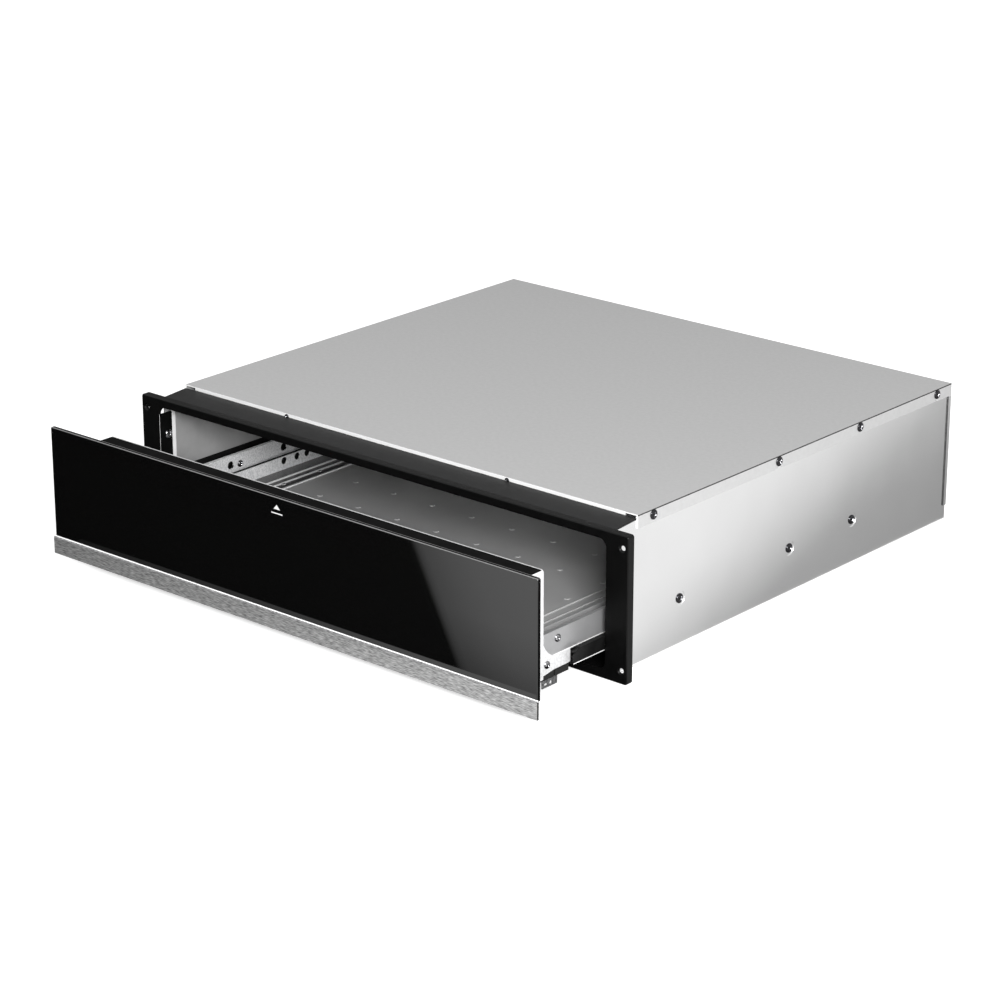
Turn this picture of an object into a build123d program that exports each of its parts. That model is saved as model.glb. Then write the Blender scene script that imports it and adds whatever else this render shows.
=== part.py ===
from build123d import *
import os

os.makedirs("parts", exist_ok=True)

# Built in warming drawer, shown pulled a little way out.
# X runs to the viewer's right, Y towards the back of the niche and Z up. The origin is the middle of
# the base plate's underside. Depths are measured back from the front plane of the frame, so what
# stands in front of the frame has a negative depth.

# ---- Housing ----
BODY_W = 554.0  # over the side flanges of the cover
BODY_H = 140.0  # underside of the base to the top of the cover
BODY_D = 522.0  # front of the frame to the back of the rear panel
SHEET = 1.0  # housing sheet
COVER_FRONT = 38.4  # depth of the cover's front edge
COVER_FLANGE = 12.2  # height of its side flanges
LIP_H = 3.2  # height of its front lip
LIP_W = 527.0
LIP_NOTCH_W, LIP_NOTCH_H = 11.0, 1.0  # relief in the flange's lower edge
LIP_NOTCH_AT = 241.5
HEM_FRONT, HEM_D, HEM_T = 19.0, 5.0, 1.0  # doubled strip inside the front of each side wall
REAR_TURN = 12.0  # inward turn at the back of each side wall
REAR_LAP_D, REAR_LAP_T, REAR_LAP_Z = 4.5, 1.2, 16.0  # rear panel's flange over the side wall
VENT_W = 4.0  # air slots in the base and the rear panel
BASE_VENTS, BASE_VENT_PITCH, BASE_VENT_L, BASE_VENT_TO_BACK = 8, 16.0, 40.0, 26.0
REAR_VENTS, REAR_VENT_PITCH, REAR_VENT_H, REAR_VENT_RISE = 9, 18.0, 16.0, 24.0
REAR_VENT_TO_SIDE, REAR_VENT_DROP = 38.0, 22.0

# ---- Front frame and rail ----
FACE_LAP = 20.5  # the frame and the drawer front stand this far past the housing on each side
FRAME_DROP = 4.0  # top of the frame below the top of the cover
FRAME_D = 8.0
FRAME_T = 2.0  # front sheet
FRAME_RIM = 1.2
FRAME_R = 2.5
FRAME_BEVEL = 0.8
RETURN_T, RETURN_D = 1.5, 16.0  # flange that turns back along each side wall
OPENING_Z0, TOP_BAR, OPENING_R = 8.0, 8.2, 8.0
MOUNT_INSET_X, MOUNT_INSET_Z = 6.5, 12.0  # mounting holes in from the frame's edges
MOUNT_R, MOUNT_SINK_R = 2.25, 3.6
FRAME_SCREW_DROP = 29.8  # side screws of the frame below the top of the opening
RAIL_FRONT_DROP, RAIL_REAR_DROP, RAIL_T = 5.2, 3.1, 1.2  # below the top of the cover
RAIL_GAP = 0.8  # between the rail and the cover's lip

# ---- Drawer ----
PULL = 110.0  # how far the drawer stands out here
FRONT_GAP = 2.5  # between the closed drawer front and the frame
GLASS_T, GLASS_DROP = 4.0, 7.5  # top of the glass below the top of the cover
GLASS_INSET = 1.3  # each end of the glass inside the strip's
STRIP_Z0, STRIP_H, STRIP_T, STRIP_PROUD = 7.4, 15.9, 2.2, 1.6
STRIP_LIP, STRIP_LIP_T = 1.9, 0.4  # lip over the glass's lower edge, thin at its top
BOX_GAP_X, BOX_GAP_Z = 9.5, 8.8  # inner box to the side and the top of the opening
BOX_D, BOX_Z0, BOX_T, BOX_R = 42.5, 19.3, 1.0, 3.0
BRACKET_T = 1.0
SIDE_T, SIDE_Z0, SIDE_Z1, DRAWER_L = 1.5, 24.0, 60.0, 400.0
GUTTER, FLOOR_Z, FLOOR_T, FLOOR_RIM_Z = 22.5, 37.5, 1.0, 51.0  # gutter: floor's rim to the side rail
DOT_PITCH, DOT_R, DOT_H = 50.0, 3.0, 0.6
DOT_COLUMNS, DOT_ROWS, DOT_OFFSET_X = 9, 8, -10.0
BEAD_INSETS, BEAD_W, BEAD_H = (18.0, 28.0, 39.0), 2.0, 0.8
PAN_T = 1.0
BOARD_T = 3.0  # insulation under the heater
HEATER_R = 2.5
BUMPER_R, BUMPER_INSET_X, BUMPER_INSET_Z = 4.0, 14.5, 28.0

# ---- Slides ----
SLIDE_L, SLIDE_FRONT, SLIDE_Z0 = 390.0, 26.0, 22.0
SLIDE_T = 1.2  # metal of the slide members
SLIDE_OUT_H, SLIDE_LIP = 20.8, 5.5  # height over the outer member's lips, and their depth
SLIDE_TOP = 52.0  # top of the outer member's web
MIDDLE_L, MIDDLE_W, MIDDLE_H = 390.0, 5.2, 13.2
MIDDLE_OUT = 15.0  # depth of the middle member's front end with the drawer shut
INNER_L, INNER_W, INNER_H = 340.0, 5.4, 6.0
INNER_FRONT = -36.0  # its front end here, behind the bracket
BALL_R, INNER_BALL_R, BALL_PITCH = 1.0, 0.9, 16.0
CAGE_T, CAGE_W = 0.6, 3.6
SLIDE_SCREW_Z = 44.7
SLIDE_SCREWS = (101.0, 264.0, 363.0)
DIMPLE_R, DIMPLE_H = 7.0, 0.7

# ---- Screws and clearances ----
COVER_SCREW_FIRST = 60.0  # depth of the first screw in each cover flange
COVER_SCREW_TO_BACK = (280.0, 153.0, 25.0)  # the other three, in from the back
COVER_SCREWS = (COVER_SCREW_FIRST, *[BODY_D - reach for reach in COVER_SCREW_TO_BACK])
COVER_SCREW_DROP = 5.2  # below the top of the cover
LIP_SCREWS = (-141.0, 130.0)
HEAD_R, HEAD_H, SHANK_R = 3.6, 1.8, 1.5
HOLE_CLEAR = 0.2  # screw shank in its hole
MOVE_CLEAR = 0.3  # between pieces that move past each other
FIT_CLEAR = 0.08  # shaft or spindle in its bore

# ---- Fan, latch and electrics at the back ----
FAN_W, FAN_H, FAN_D, FAN_T = 116.0, 82.0, 73.0, 1.2
FAN_DROP = 57.0  # axis of the fan below the top of the cover
WHEEL_R, WHEEL_D, BLADES = 34.0, 20.0, 20
MOTOR_R, MOTOR_L, SHAFT_R = 22.0, 32.0, 3.0
LATCH_X, LATCH_Z, LATCH_W, LATCH_D = 206.0, 50.0, 20.0, 69.0
PLUNGER_R, PLUNGER_TRAVEL, PLUNGER_OUT = 4.0, 6.0, 11.4
TERMINAL_X, TERMINAL_W, TERMINAL_D, TERMINAL_Z0, TERMINAL_H = -170.0, 70.0, 45.0, 20.0, 42.0
GLAND_R, GLAND_BORE_R, GLAND_HEX_R, GLAND_HEAD, GLAND_NUT = 8.0, 4.0, 11.0, 9.0, 4.0

# ---- Controls on the back of the inner box ----
CONTROL_DROP = 39.0  # below the top of the box
KNOB_X, KNOB_R, KNOB_H, SPINDLE_R = 140.0, 15.0, 14.0, 3.0
THERMOSTAT_W, THERMOSTAT_D = 36.0, 24.0
SWITCH_X, SWITCH_W, SWITCH_H, SWITCH_D = -135.0, 22.0, 30.0, 22.0
ROCKER_W, ROCKER_H = 15.0, 22.4
LAMP_X, LAMP_R = -95.0, 5.0

# ---- Places that follow from the sizes above ----
FRONT_Y = -(FRAME_D + BODY_D) / 2  # front plane of the frame
FACE_W = BODY_W + 2 * FACE_LAP
FRAME_H = BODY_H - FRAME_DROP
OPENING_Z1 = FRAME_H - TOP_BAR
FRAME_SCREW_Z = OPENING_Z1 - FRAME_SCREW_DROP
MOUNT_PITCH_X = FACE_W - 2 * MOUNT_INSET_X
MOUNT_PITCH_Z = FRAME_H - 2 * MOUNT_INSET_Z
FRAME_SCREW_DEPTH = (FRAME_D + RETURN_D) / 2 - 1
RAIL_FRONT_Z = BODY_H - RAIL_FRONT_DROP
RAIL_REAR_Z = BODY_H - RAIL_REAR_DROP
WALL_X = BODY_W / 2 - SHEET  # outer face of a side wall
WALL_IN = WALL_X - SHEET
OPENING_X = WALL_IN - RETURN_T
COVER_Z = BODY_H - SHEET
FLANGE_Z = BODY_H - COVER_FLANGE
RAIL_REAR = COVER_FRONT - RAIL_GAP
REAR_IN = BODY_D - SHEET  # inner face of the rear panel
DOOR_BACK = -(PULL + FRONT_GAP)  # back plane of the glass
BOX_X = OPENING_X - BOX_GAP_X
BOX_Z1 = OPENING_Z1 - BOX_GAP_Z
CONTROL_Z = BOX_Z1 - CONTROL_DROP
BOX_BACK = DOOR_BACK + BOX_D
SIDE_IN = BOX_X - SIDE_T
DRAWER_BACK = BOX_BACK + DRAWER_L
GLASS_Z0 = STRIP_Z0 + STRIP_H
GLASS_Z1 = BODY_H - GLASS_DROP
PAN_Z = SIDE_Z0 + PAN_T
FLOOR_X = SIDE_IN - GUTTER
SLIDE_X = WALL_IN - DIMPLE_H  # back of the outer slide member, on the wall's dimples
SLIDE_WEB = SLIDE_X - SLIDE_T
SLIDE_MID_Z = SLIDE_Z0 + SLIDE_OUT_H / 2
MIDDLE_FRONT = MIDDLE_OUT - PULL / 2
MIDDLE_X = SLIDE_WEB - 1.3
FAN_Z = BODY_H - FAN_DROP
FAN_Z0, FAN_Z1 = FAN_Z - FAN_H / 2, FAN_Z + FAN_H / 2


def block(x0, x1, y0, y1, z0, z1, mode=Mode.ADD):
    """Block between two limits on each axis, its depths measured back from the frame's front."""
    with Locations(((x0 + x1) / 2, FRONT_Y + (y0 + y1) / 2, (z0 + z1) / 2)):
        return Box(x1 - x0, y1 - y0, z1 - z0, mode=mode)


def side_face(x):
    """Plane that looks along +X at x, with the depth as its first axis and Z as its second."""
    return Plane(origin=(x, FRONT_Y, 0), x_dir=(0, 1, 0), z_dir=(1, 0, 0))


def cross_face(depth):
    """Plane that looks along -Y at a depth, with X as its first axis and Z as its second."""
    return Plane(origin=(0, FRONT_Y + depth, 0), x_dir=(1, 0, 0), z_dir=(0, -1, 0))


def side_rod(radius, x0, x1, depth, z, mode=Mode.ADD):
    """Round bar or hole along X."""
    with BuildSketch(side_face(x0)) as disc:
        with Locations((depth, z)):
            Circle(radius)
    extrude(disc.sketch, amount=x1 - x0, mode=mode)


def depth_rod(radius, x, z, y0, y1, mode=Mode.ADD):
    """Round bar or hole along Y, from depth y0 to the greater depth y1."""
    with BuildSketch(cross_face(y1)) as disc:
        with Locations((x, z)):
            Circle(radius)
    extrude(disc.sketch, amount=y1 - y0, mode=mode)


# ---- Base, walls, rear panel and cover ----
with BuildPart() as base_plate:
    block(-WALL_X, WALL_X, FRAME_D, BODY_D, 0, SHEET)
    for slot in range(BASE_VENTS):
        slot_x = (slot - (BASE_VENTS - 1) / 2) * BASE_VENT_PITCH
        block(
            slot_x - VENT_W / 2, slot_x + VENT_W / 2,
            BODY_D - BASE_VENT_TO_BACK - BASE_VENT_L, BODY_D - BASE_VENT_TO_BACK, 0, SHEET, Mode.SUBTRACT,
        )

with BuildPart() as right_side_wall:
    with BuildSketch(side_face(WALL_IN)) as wall_outline:
        with BuildLine():
            Polyline(
                (FRAME_D, SHEET),
                (FRAME_D, RAIL_FRONT_Z - RAIL_T),
                (RAIL_REAR, RAIL_REAR_Z - RAIL_T),
                (COVER_FRONT, COVER_Z),
                (REAR_IN, COVER_Z),
                (REAR_IN, SHEET),
                close=True,
            )
        make_face()
    extrude(amount=SHEET)
    block(WALL_IN - HEM_T, WALL_IN, HEM_FRONT, HEM_FRONT + HEM_D, OPENING_Z0, OPENING_Z1)
    block(WALL_IN - REAR_TURN, WALL_IN, REAR_IN - SHEET, REAR_IN, 2 * OPENING_Z0, OPENING_Z1)
    for depth in SLIDE_SCREWS:
        side_rod(DIMPLE_R - 1, WALL_IN - DIMPLE_H, WALL_IN, depth, SLIDE_SCREW_Z)
        side_rod(DIMPLE_R, WALL_X - DIMPLE_H, WALL_X, depth, SLIDE_SCREW_Z, Mode.SUBTRACT)
        side_rod(
            SHANK_R + HOLE_CLEAR, WALL_IN - DIMPLE_H, WALL_X, depth, SLIDE_SCREW_Z, Mode.SUBTRACT
        )
    for depth in COVER_SCREWS:
        side_rod(
            SHANK_R + HOLE_CLEAR, WALL_IN, WALL_X, depth, BODY_H - COVER_SCREW_DROP, Mode.SUBTRACT
        )
    side_rod(SHANK_R + HOLE_CLEAR, WALL_IN, WALL_X, FRAME_SCREW_DEPTH, FRAME_SCREW_Z, Mode.SUBTRACT)
    for z in (3 * OPENING_Z0, OPENING_Z1 - 3 * OPENING_Z0):
        depth_rod(
            SHANK_R + HOLE_CLEAR, WALL_IN - REAR_TURN / 2, z, REAR_IN - SHEET, REAR_IN, Mode.SUBTRACT
        )

with BuildPart() as left_side_wall:
    mirror(right_side_wall.part, about=Plane.YZ)

with BuildPart() as rear_panel:
    block(-WALL_X, WALL_X, REAR_IN, BODY_D, SHEET, COVER_Z)
    for side in (-1, 1):
        lap = sorted((side * WALL_X, side * (WALL_X + REAR_LAP_T)))
        block(*lap, BODY_D - REAR_LAP_D, BODY_D, REAR_LAP_Z, FLANGE_Z)
        for z in (3 * OPENING_Z0, OPENING_Z1 - 3 * OPENING_Z0):
            depth_rod(
                SHANK_R + HOLE_CLEAR, side * (WALL_IN - REAR_TURN / 2), z, REAR_IN, BODY_D,
                Mode.SUBTRACT,
            )
    depth_rod(GLAND_R + HOLE_CLEAR, TERMINAL_X, TERMINAL_Z0 + TERMINAL_H / 2, REAR_IN, BODY_D, Mode.SUBTRACT)
    for column in range(REAR_VENTS):
        for row in range(2):
            slot_x = WALL_IN - REAR_VENT_TO_SIDE - REAR_VENT_PITCH * column
            slot_z = BODY_H - REAR_VENT_DROP - REAR_VENT_H - REAR_VENT_RISE * row
            block(
                slot_x - VENT_W / 2, slot_x + VENT_W / 2, REAR_IN, BODY_D,
                slot_z, slot_z + REAR_VENT_H, Mode.SUBTRACT,
            )

# The cover's flanges hang over the side walls; two of the four screws on each side sit in keyholes.
with BuildPart() as top_cover:
    block(-BODY_W / 2, BODY_W / 2, COVER_FRONT, BODY_D, COVER_Z, BODY_H)
    block(-LIP_W / 2, LIP_W / 2, COVER_FRONT, COVER_FRONT + SHEET, BODY_H - LIP_H, COVER_Z)
    for side in (-1, 1):
        flange = sorted((side * WALL_X, side * BODY_W / 2))
        block(*flange, COVER_FRONT, BODY_D, FLANGE_Z, COVER_Z)
        block(
            *flange, LIP_NOTCH_AT - LIP_NOTCH_W / 2, LIP_NOTCH_AT + LIP_NOTCH_W / 2,
            FLANGE_Z, FLANGE_Z + LIP_NOTCH_H, Mode.SUBTRACT,
        )
        for number, depth in enumerate(COVER_SCREWS):
            screw_z = BODY_H - COVER_SCREW_DROP
            side_rod(SHANK_R + HOLE_CLEAR, *flange, depth, screw_z, Mode.SUBTRACT)
            if number % 2:
                slot_half = SHANK_R + HOLE_CLEAR
                block(*flange, depth - slot_half, depth + slot_half, FLANGE_Z, screw_z, Mode.SUBTRACT)
    for x in LIP_SCREWS:
        depth_rod(SHANK_R / 2 + HOLE_CLEAR, x, BODY_H - LIP_H / 2, COVER_FRONT, COVER_FRONT + SHEET,
                  Mode.SUBTRACT)

# ---- Front frame and the sloped rail behind it ----
with BuildPart() as front_frame:
    with BuildSketch(cross_face(FRAME_D)):
        with Locations((0, FRAME_H / 2)):
            RectangleRounded(FACE_W, FRAME_H, FRAME_R)
    extrude(amount=FRAME_D)
    chamfer(front_frame.faces().sort_by(Axis.Y)[0].outer_wire().edges(), FRAME_BEVEL)
    block(
        -FACE_W / 2 + FRAME_RIM, FACE_W / 2 - FRAME_RIM, FRAME_T, FRAME_D,
        FRAME_RIM, FRAME_H - FRAME_RIM, Mode.SUBTRACT,
    )
    with BuildSketch(cross_face(RETURN_D)):
        with Locations((0, (OPENING_Z0 + OPENING_Z1) / 2)):
            Rectangle(2 * WALL_IN, OPENING_Z1 - OPENING_Z0 - 2 * OPENING_R)
    extrude(amount=RETURN_D - FRAME_T)
    with BuildSketch(cross_face(RETURN_D)):
        with Locations((0, (OPENING_Z0 + OPENING_Z1) / 2)):
            RectangleRounded(2 * OPENING_X, OPENING_Z1 - OPENING_Z0, OPENING_R)
    extrude(amount=RETURN_D, mode=Mode.SUBTRACT)
    for x in (-MOUNT_PITCH_X / 2, MOUNT_PITCH_X / 2):
        for z in (MOUNT_INSET_Z, MOUNT_INSET_Z + MOUNT_PITCH_Z):
            depth_rod(MOUNT_R, x, z, 0, FRAME_T, Mode.SUBTRACT)
            with BuildSketch(cross_face(0)):
                with Locations((x, z)):
                    Circle(MOUNT_SINK_R)
            extrude(amount=-(MOUNT_SINK_R - MOUNT_R), taper=45, mode=Mode.SUBTRACT)
    for side in (-1, 1):
        flange = sorted((side * OPENING_X, side * WALL_IN))
        side_rod(SHANK_R + HOLE_CLEAR, *flange, FRAME_SCREW_DEPTH, FRAME_SCREW_Z, Mode.SUBTRACT)

with BuildPart() as front_rail:
    with BuildSketch(side_face(-WALL_X)):
        with BuildLine():
            Polyline(
                (FRAME_D, RAIL_FRONT_Z - RAIL_T),
                (FRAME_D, RAIL_FRONT_Z),
                (RAIL_REAR, RAIL_REAR_Z),
                (RAIL_REAR, RAIL_REAR_Z - RAIL_T),
                close=True,
            )
        make_face()
    extrude(amount=2 * WALL_X)
    block(-OPENING_X, OPENING_X, RAIL_REAR - SHEET, RAIL_REAR, OPENING_Z1, RAIL_REAR_Z - RAIL_T)

# ---- Fan at the back ----
with BuildPart() as fan_housing:
    block(-FAN_W / 2, FAN_W / 2, REAR_IN - FAN_D, REAR_IN, FAN_Z0, FAN_Z1)
    block(
        -FAN_W / 2 + FAN_T, FAN_W / 2 - FAN_T, REAR_IN - FAN_D + FAN_T, REAR_IN,
        FAN_Z0 + FAN_T, FAN_Z1 - FAN_T, Mode.SUBTRACT,
    )
    with BuildSketch(cross_face(REAR_IN - FAN_D + FAN_T)):
        with Locations((0, FAN_Z)):
            with GridLocations(11, 11, 5, 5):
                Circle(3.6)
    extrude(amount=FAN_T, mode=Mode.SUBTRACT)
    for side in (-1, 1):
        outlet = sorted((side * (FAN_W / 2 - FAN_T), side * FAN_W / 2))
        block(*outlet, REAR_IN - FAN_D + 12, REAR_IN - FAN_D + 28, FAN_Z - 26, FAN_Z + 26, Mode.SUBTRACT)

with BuildPart() as fan_motor:
    depth_rod(MOTOR_R, 0, FAN_Z, REAR_IN - MOTOR_L, REAR_IN)
    chamfer(fan_motor.faces().sort_by(Axis.Y)[0].edges(), 2)
    depth_rod(SHAFT_R, 0, FAN_Z, REAR_IN - MOTOR_L - WHEEL_D, REAR_IN - MOTOR_L)

WHEEL_BACK = REAR_IN - MOTOR_L - 4
with BuildPart() as fan_wheel:
    depth_rod(WHEEL_R, 0, FAN_Z, WHEEL_BACK - 1.5, WHEEL_BACK)
    depth_rod(WHEEL_R, 0, FAN_Z, WHEEL_BACK - WHEEL_D, WHEEL_BACK - WHEEL_D + 1.5)
    depth_rod(WHEEL_R - 6, 0, FAN_Z, WHEEL_BACK - WHEEL_D, WHEEL_BACK - WHEEL_D + 1.5, Mode.SUBTRACT)
    with BuildSketch(cross_face(WHEEL_BACK - 1.5)):
        with Locations((0, FAN_Z)):
            with PolarLocations(WHEEL_R - 3.4, BLADES):
                Rectangle(5, 1, rotation=30)
    extrude(amount=WHEEL_D - 3)
    depth_rod(SHAFT_R + 3, 0, FAN_Z, WHEEL_BACK - WHEEL_D / 2, WHEEL_BACK)
    depth_rod(SHAFT_R + FIT_CLEAR, 0, FAN_Z, WHEEL_BACK - WHEEL_D, WHEEL_BACK, Mode.SUBTRACT)

# ---- Push latch, terminal box and cable gland at the back ----
with BuildPart() as push_latch_body:
    block(
        LATCH_X - LATCH_W / 2, LATCH_X + LATCH_W / 2, REAR_IN - LATCH_D, REAR_IN,
        LATCH_Z - LATCH_W / 2, LATCH_Z + LATCH_W / 2,
    )
    chamfer(push_latch_body.faces().sort_by(Axis.Y)[0].edges(), 2)
    depth_rod(
        PLUNGER_R + MOVE_CLEAR, LATCH_X, LATCH_Z, REAR_IN - LATCH_D, REAR_IN - LATCH_D / 2,
        Mode.SUBTRACT,
    )

with BuildPart() as push_latch_plunger:
    depth_rod(
        PLUNGER_R, LATCH_X, LATCH_Z, REAR_IN - LATCH_D - PLUNGER_OUT,
        REAR_IN - LATCH_D / 2 - PLUNGER_TRAVEL - 2,
    )
    fillet(push_latch_plunger.faces().sort_by(Axis.Y)[0].edges(), PLUNGER_R / 3)

with BuildPart() as terminal_box:
    block(
        TERMINAL_X - TERMINAL_W / 2, TERMINAL_X + TERMINAL_W / 2, REAR_IN - TERMINAL_D, REAR_IN,
        TERMINAL_Z0, TERMINAL_Z0 + TERMINAL_H,
    )
    fillet(terminal_box.edges().filter_by(Axis.Y), 3)
    block(
        TERMINAL_X - TERMINAL_W / 2 + 2, TERMINAL_X + TERMINAL_W / 2 - 2, REAR_IN - TERMINAL_D + 2,
        REAR_IN, TERMINAL_Z0 + 2, TERMINAL_Z0 + TERMINAL_H - 2, Mode.SUBTRACT,
    )

GLAND_Z = TERMINAL_Z0 + TERMINAL_H / 2
with BuildPart() as mains_gland:
    with BuildSketch(cross_face(BODY_D + GLAND_HEAD)):
        with Locations((TERMINAL_X, GLAND_Z)):
            RegularPolygon(GLAND_HEX_R, 6)
    extrude(amount=GLAND_HEAD)
    depth_rod(GLAND_R, TERMINAL_X, GLAND_Z, REAR_IN - GLAND_NUT - 2, BODY_D)
    depth_rod(GLAND_BORE_R, TERMINAL_X, GLAND_Z, 0, BODY_D + GLAND_HEAD, Mode.SUBTRACT)

with BuildPart() as gland_nut:
    with BuildSketch(cross_face(REAR_IN)):
        with Locations((TERMINAL_X, GLAND_Z)):
            RegularPolygon(GLAND_HEX_R, 6)
    extrude(amount=GLAND_NUT)
    depth_rod(GLAND_R, TERMINAL_X, GLAND_Z, 0, BODY_D, Mode.SUBTRACT)

# ---- Screws of the housing ----
with BuildPart() as cover_side_screws:
    for side in (-1, 1):
        for depth in COVER_SCREWS:
            head = sorted((side * BODY_W / 2, side * (BODY_W / 2 + HEAD_H)))
            shank = sorted((side * (WALL_IN - 4), side * BODY_W / 2))
            side_rod(HEAD_R, *head, depth, BODY_H - COVER_SCREW_DROP)
            side_rod(SHANK_R, *shank, depth, BODY_H - COVER_SCREW_DROP)

with BuildPart() as cover_lip_screws:
    for x in LIP_SCREWS:
        depth_rod(LIP_H / 2 - HOLE_CLEAR, x, BODY_H - LIP_H / 2, COVER_FRONT - 1.2, COVER_FRONT)
        depth_rod(SHANK_R / 2, x, BODY_H - LIP_H / 2, COVER_FRONT, COVER_FRONT + SHEET)

with BuildPart() as slide_screws:
    for side in (-1, 1):
        for depth in SLIDE_SCREWS:
            seat = WALL_X - DIMPLE_H
            side_rod(HEAD_R, *sorted((side * seat, side * (seat + HEAD_H))), depth, SLIDE_SCREW_Z)
            side_rod(SHANK_R, *sorted((side * (SLIDE_WEB - 2), side * seat)), depth, SLIDE_SCREW_Z)

with BuildPart() as frame_side_screws:
    for side in (-1, 1):
        side_rod(HEAD_R - 0.6, *sorted((side * (OPENING_X - 1.4), side * OPENING_X)), FRAME_SCREW_DEPTH, FRAME_SCREW_Z)
        side_rod(SHANK_R, *sorted((side * OPENING_X, side * WALL_X)), FRAME_SCREW_DEPTH, FRAME_SCREW_Z)

with BuildPart() as rear_screws:
    for x in (-(WALL_IN - REAR_TURN / 2), WALL_IN - REAR_TURN / 2):
        for z in (3 * OPENING_Z0, OPENING_Z1 - 3 * OPENING_Z0):
            depth_rod(HEAD_R, x, z, BODY_D, BODY_D + HEAD_H)
            depth_rod(SHANK_R, x, z, REAR_IN - 6, BODY_D)

# ---- Telescopic slides: outer member on the wall, middle member, inner member on the drawer ----
LIP_LOW = SLIDE_Z0 + SLIDE_T
LIP_HIGH = SLIDE_Z0 + SLIDE_OUT_H - SLIDE_T
MIDDLE_Z0, MIDDLE_Z1 = SLIDE_MID_Z - MIDDLE_H / 2, SLIDE_MID_Z + MIDDLE_H / 2
INNER_Z0, INNER_Z1 = SLIDE_MID_Z - INNER_H / 2, SLIDE_MID_Z + INNER_H / 2

with BuildPart() as right_slide_outer:
    slide_run = (SLIDE_FRONT, SLIDE_FRONT + SLIDE_L)
    block(SLIDE_WEB, SLIDE_X, *slide_run, SLIDE_Z0, SLIDE_TOP)
    block(SLIDE_WEB - SLIDE_LIP, SLIDE_WEB, *slide_run, SLIDE_Z0, LIP_LOW)
    block(SLIDE_WEB - SLIDE_LIP, SLIDE_WEB, *slide_run, LIP_HIGH, LIP_HIGH + SLIDE_T)
    for depth in SLIDE_SCREWS:
        side_rod(SHANK_R + HOLE_CLEAR, SLIDE_WEB, SLIDE_X, depth, SLIDE_SCREW_Z, Mode.SUBTRACT)

with BuildPart() as right_slide_middle:
    middle_run = (MIDDLE_FRONT, MIDDLE_FRONT + MIDDLE_L)
    block(MIDDLE_X - MIDDLE_W, MIDDLE_X, *middle_run, MIDDLE_Z0, MIDDLE_Z1)
    block(
        MIDDLE_X - MIDDLE_W, MIDDLE_X - SLIDE_T, *middle_run,
        MIDDLE_Z0 + SLIDE_T, MIDDLE_Z1 - SLIDE_T, Mode.SUBTRACT,
    )
    with BuildSketch(side_face(MIDDLE_X - MIDDLE_W)):
        with BuildLine():
            Polyline(
                (MIDDLE_FRONT, MIDDLE_Z1), (MIDDLE_FRONT + 10, MIDDLE_Z1), (MIDDLE_FRONT, MIDDLE_Z1 - 5),
                close=True,
            )
        make_face()
    extrude(amount=MIDDLE_W, mode=Mode.SUBTRACT)
    side_rod(2.6, MIDDLE_X - SLIDE_T, MIDDLE_X, MIDDLE_FRONT + 44, SLIDE_MID_Z, Mode.SUBTRACT)

with BuildPart() as right_slide_inner:
    inner_run = (INNER_FRONT, INNER_FRONT + INNER_L)
    block(BOX_X, BOX_X + INNER_W, *inner_run, INNER_Z0, INNER_Z1)
    block(
        BOX_X + SLIDE_T, BOX_X + INNER_W, *inner_run, INNER_Z0 + SLIDE_T, INNER_Z1 - SLIDE_T,
        Mode.SUBTRACT,
    )

# Ball rows: two between the outer and middle members, two between the middle and inner members.
OUTER_ROW_X = MIDDLE_X - MIDDLE_W / 2
INNER_ROW_X = (MIDDLE_X - MIDDLE_W + BOX_X + INNER_W) / 2
BALL_COUNT = 12
CAGE_L = BALL_COUNT * BALL_PITCH
ball_rows = []
for height in ((LIP_LOW + MIDDLE_Z0) / 2, (LIP_HIGH + MIDDLE_Z1) / 2):
    ball_rows.append((OUTER_ROW_X, height, BALL_R, MIDDLE_FRONT + MIDDLE_L - CAGE_L - 8))
for height in ((MIDDLE_Z0 + SLIDE_T + INNER_Z0) / 2, (MIDDLE_Z1 - SLIDE_T + INNER_Z1) / 2):
    ball_rows.append((INNER_ROW_X, height, INNER_BALL_R, MIDDLE_FRONT + 12))

with BuildPart() as right_slide_balls:
    for x, z, radius, start in ball_rows:
        for number in range(BALL_COUNT):
            with Locations((x, FRONT_Y + start + (number + 0.5) * BALL_PITCH, z)):
                Sphere(radius)

with BuildPart() as right_ball_cages:
    for x, z, radius, start in ball_rows:
        block(x - CAGE_W / 2, x + CAGE_W / 2, start, start + CAGE_L, z - CAGE_T / 2, z + CAGE_T / 2)
        for number in range(BALL_COUNT):
            with Locations((x, FRONT_Y + start + (number + 0.5) * BALL_PITCH, z)):
                Cylinder(radius + HOLE_CLEAR, CAGE_T, mode=Mode.SUBTRACT)

with BuildPart() as left_slide_outer:
    mirror(right_slide_outer.part, about=Plane.YZ)
with BuildPart() as left_slide_middle:
    mirror(right_slide_middle.part, about=Plane.YZ)
with BuildPart() as left_slide_inner:
    mirror(right_slide_inner.part, about=Plane.YZ)
with BuildPart() as left_slide_balls:
    mirror(right_slide_balls.part, about=Plane.YZ)
with BuildPart() as left_ball_cages:
    mirror(right_ball_cages.part, about=Plane.YZ)

# ---- Drawer front ----
with BuildPart() as front_glass:
    with BuildSketch(cross_face(DOOR_BACK)):
        with Locations((0, (GLASS_Z0 + GLASS_Z1) / 2)):
            Rectangle(FACE_W - 2 * GLASS_INSET, GLASS_Z1 - GLASS_Z0)
    extrude(amount=GLASS_T)
    fillet(front_glass.edges().filter_by(Axis.Y).group_by(Axis.Z)[-1], 1.5)
    chamfer(front_glass.faces().sort_by(Axis.Y)[0].outer_wire().edges(), 0.5)

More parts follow.
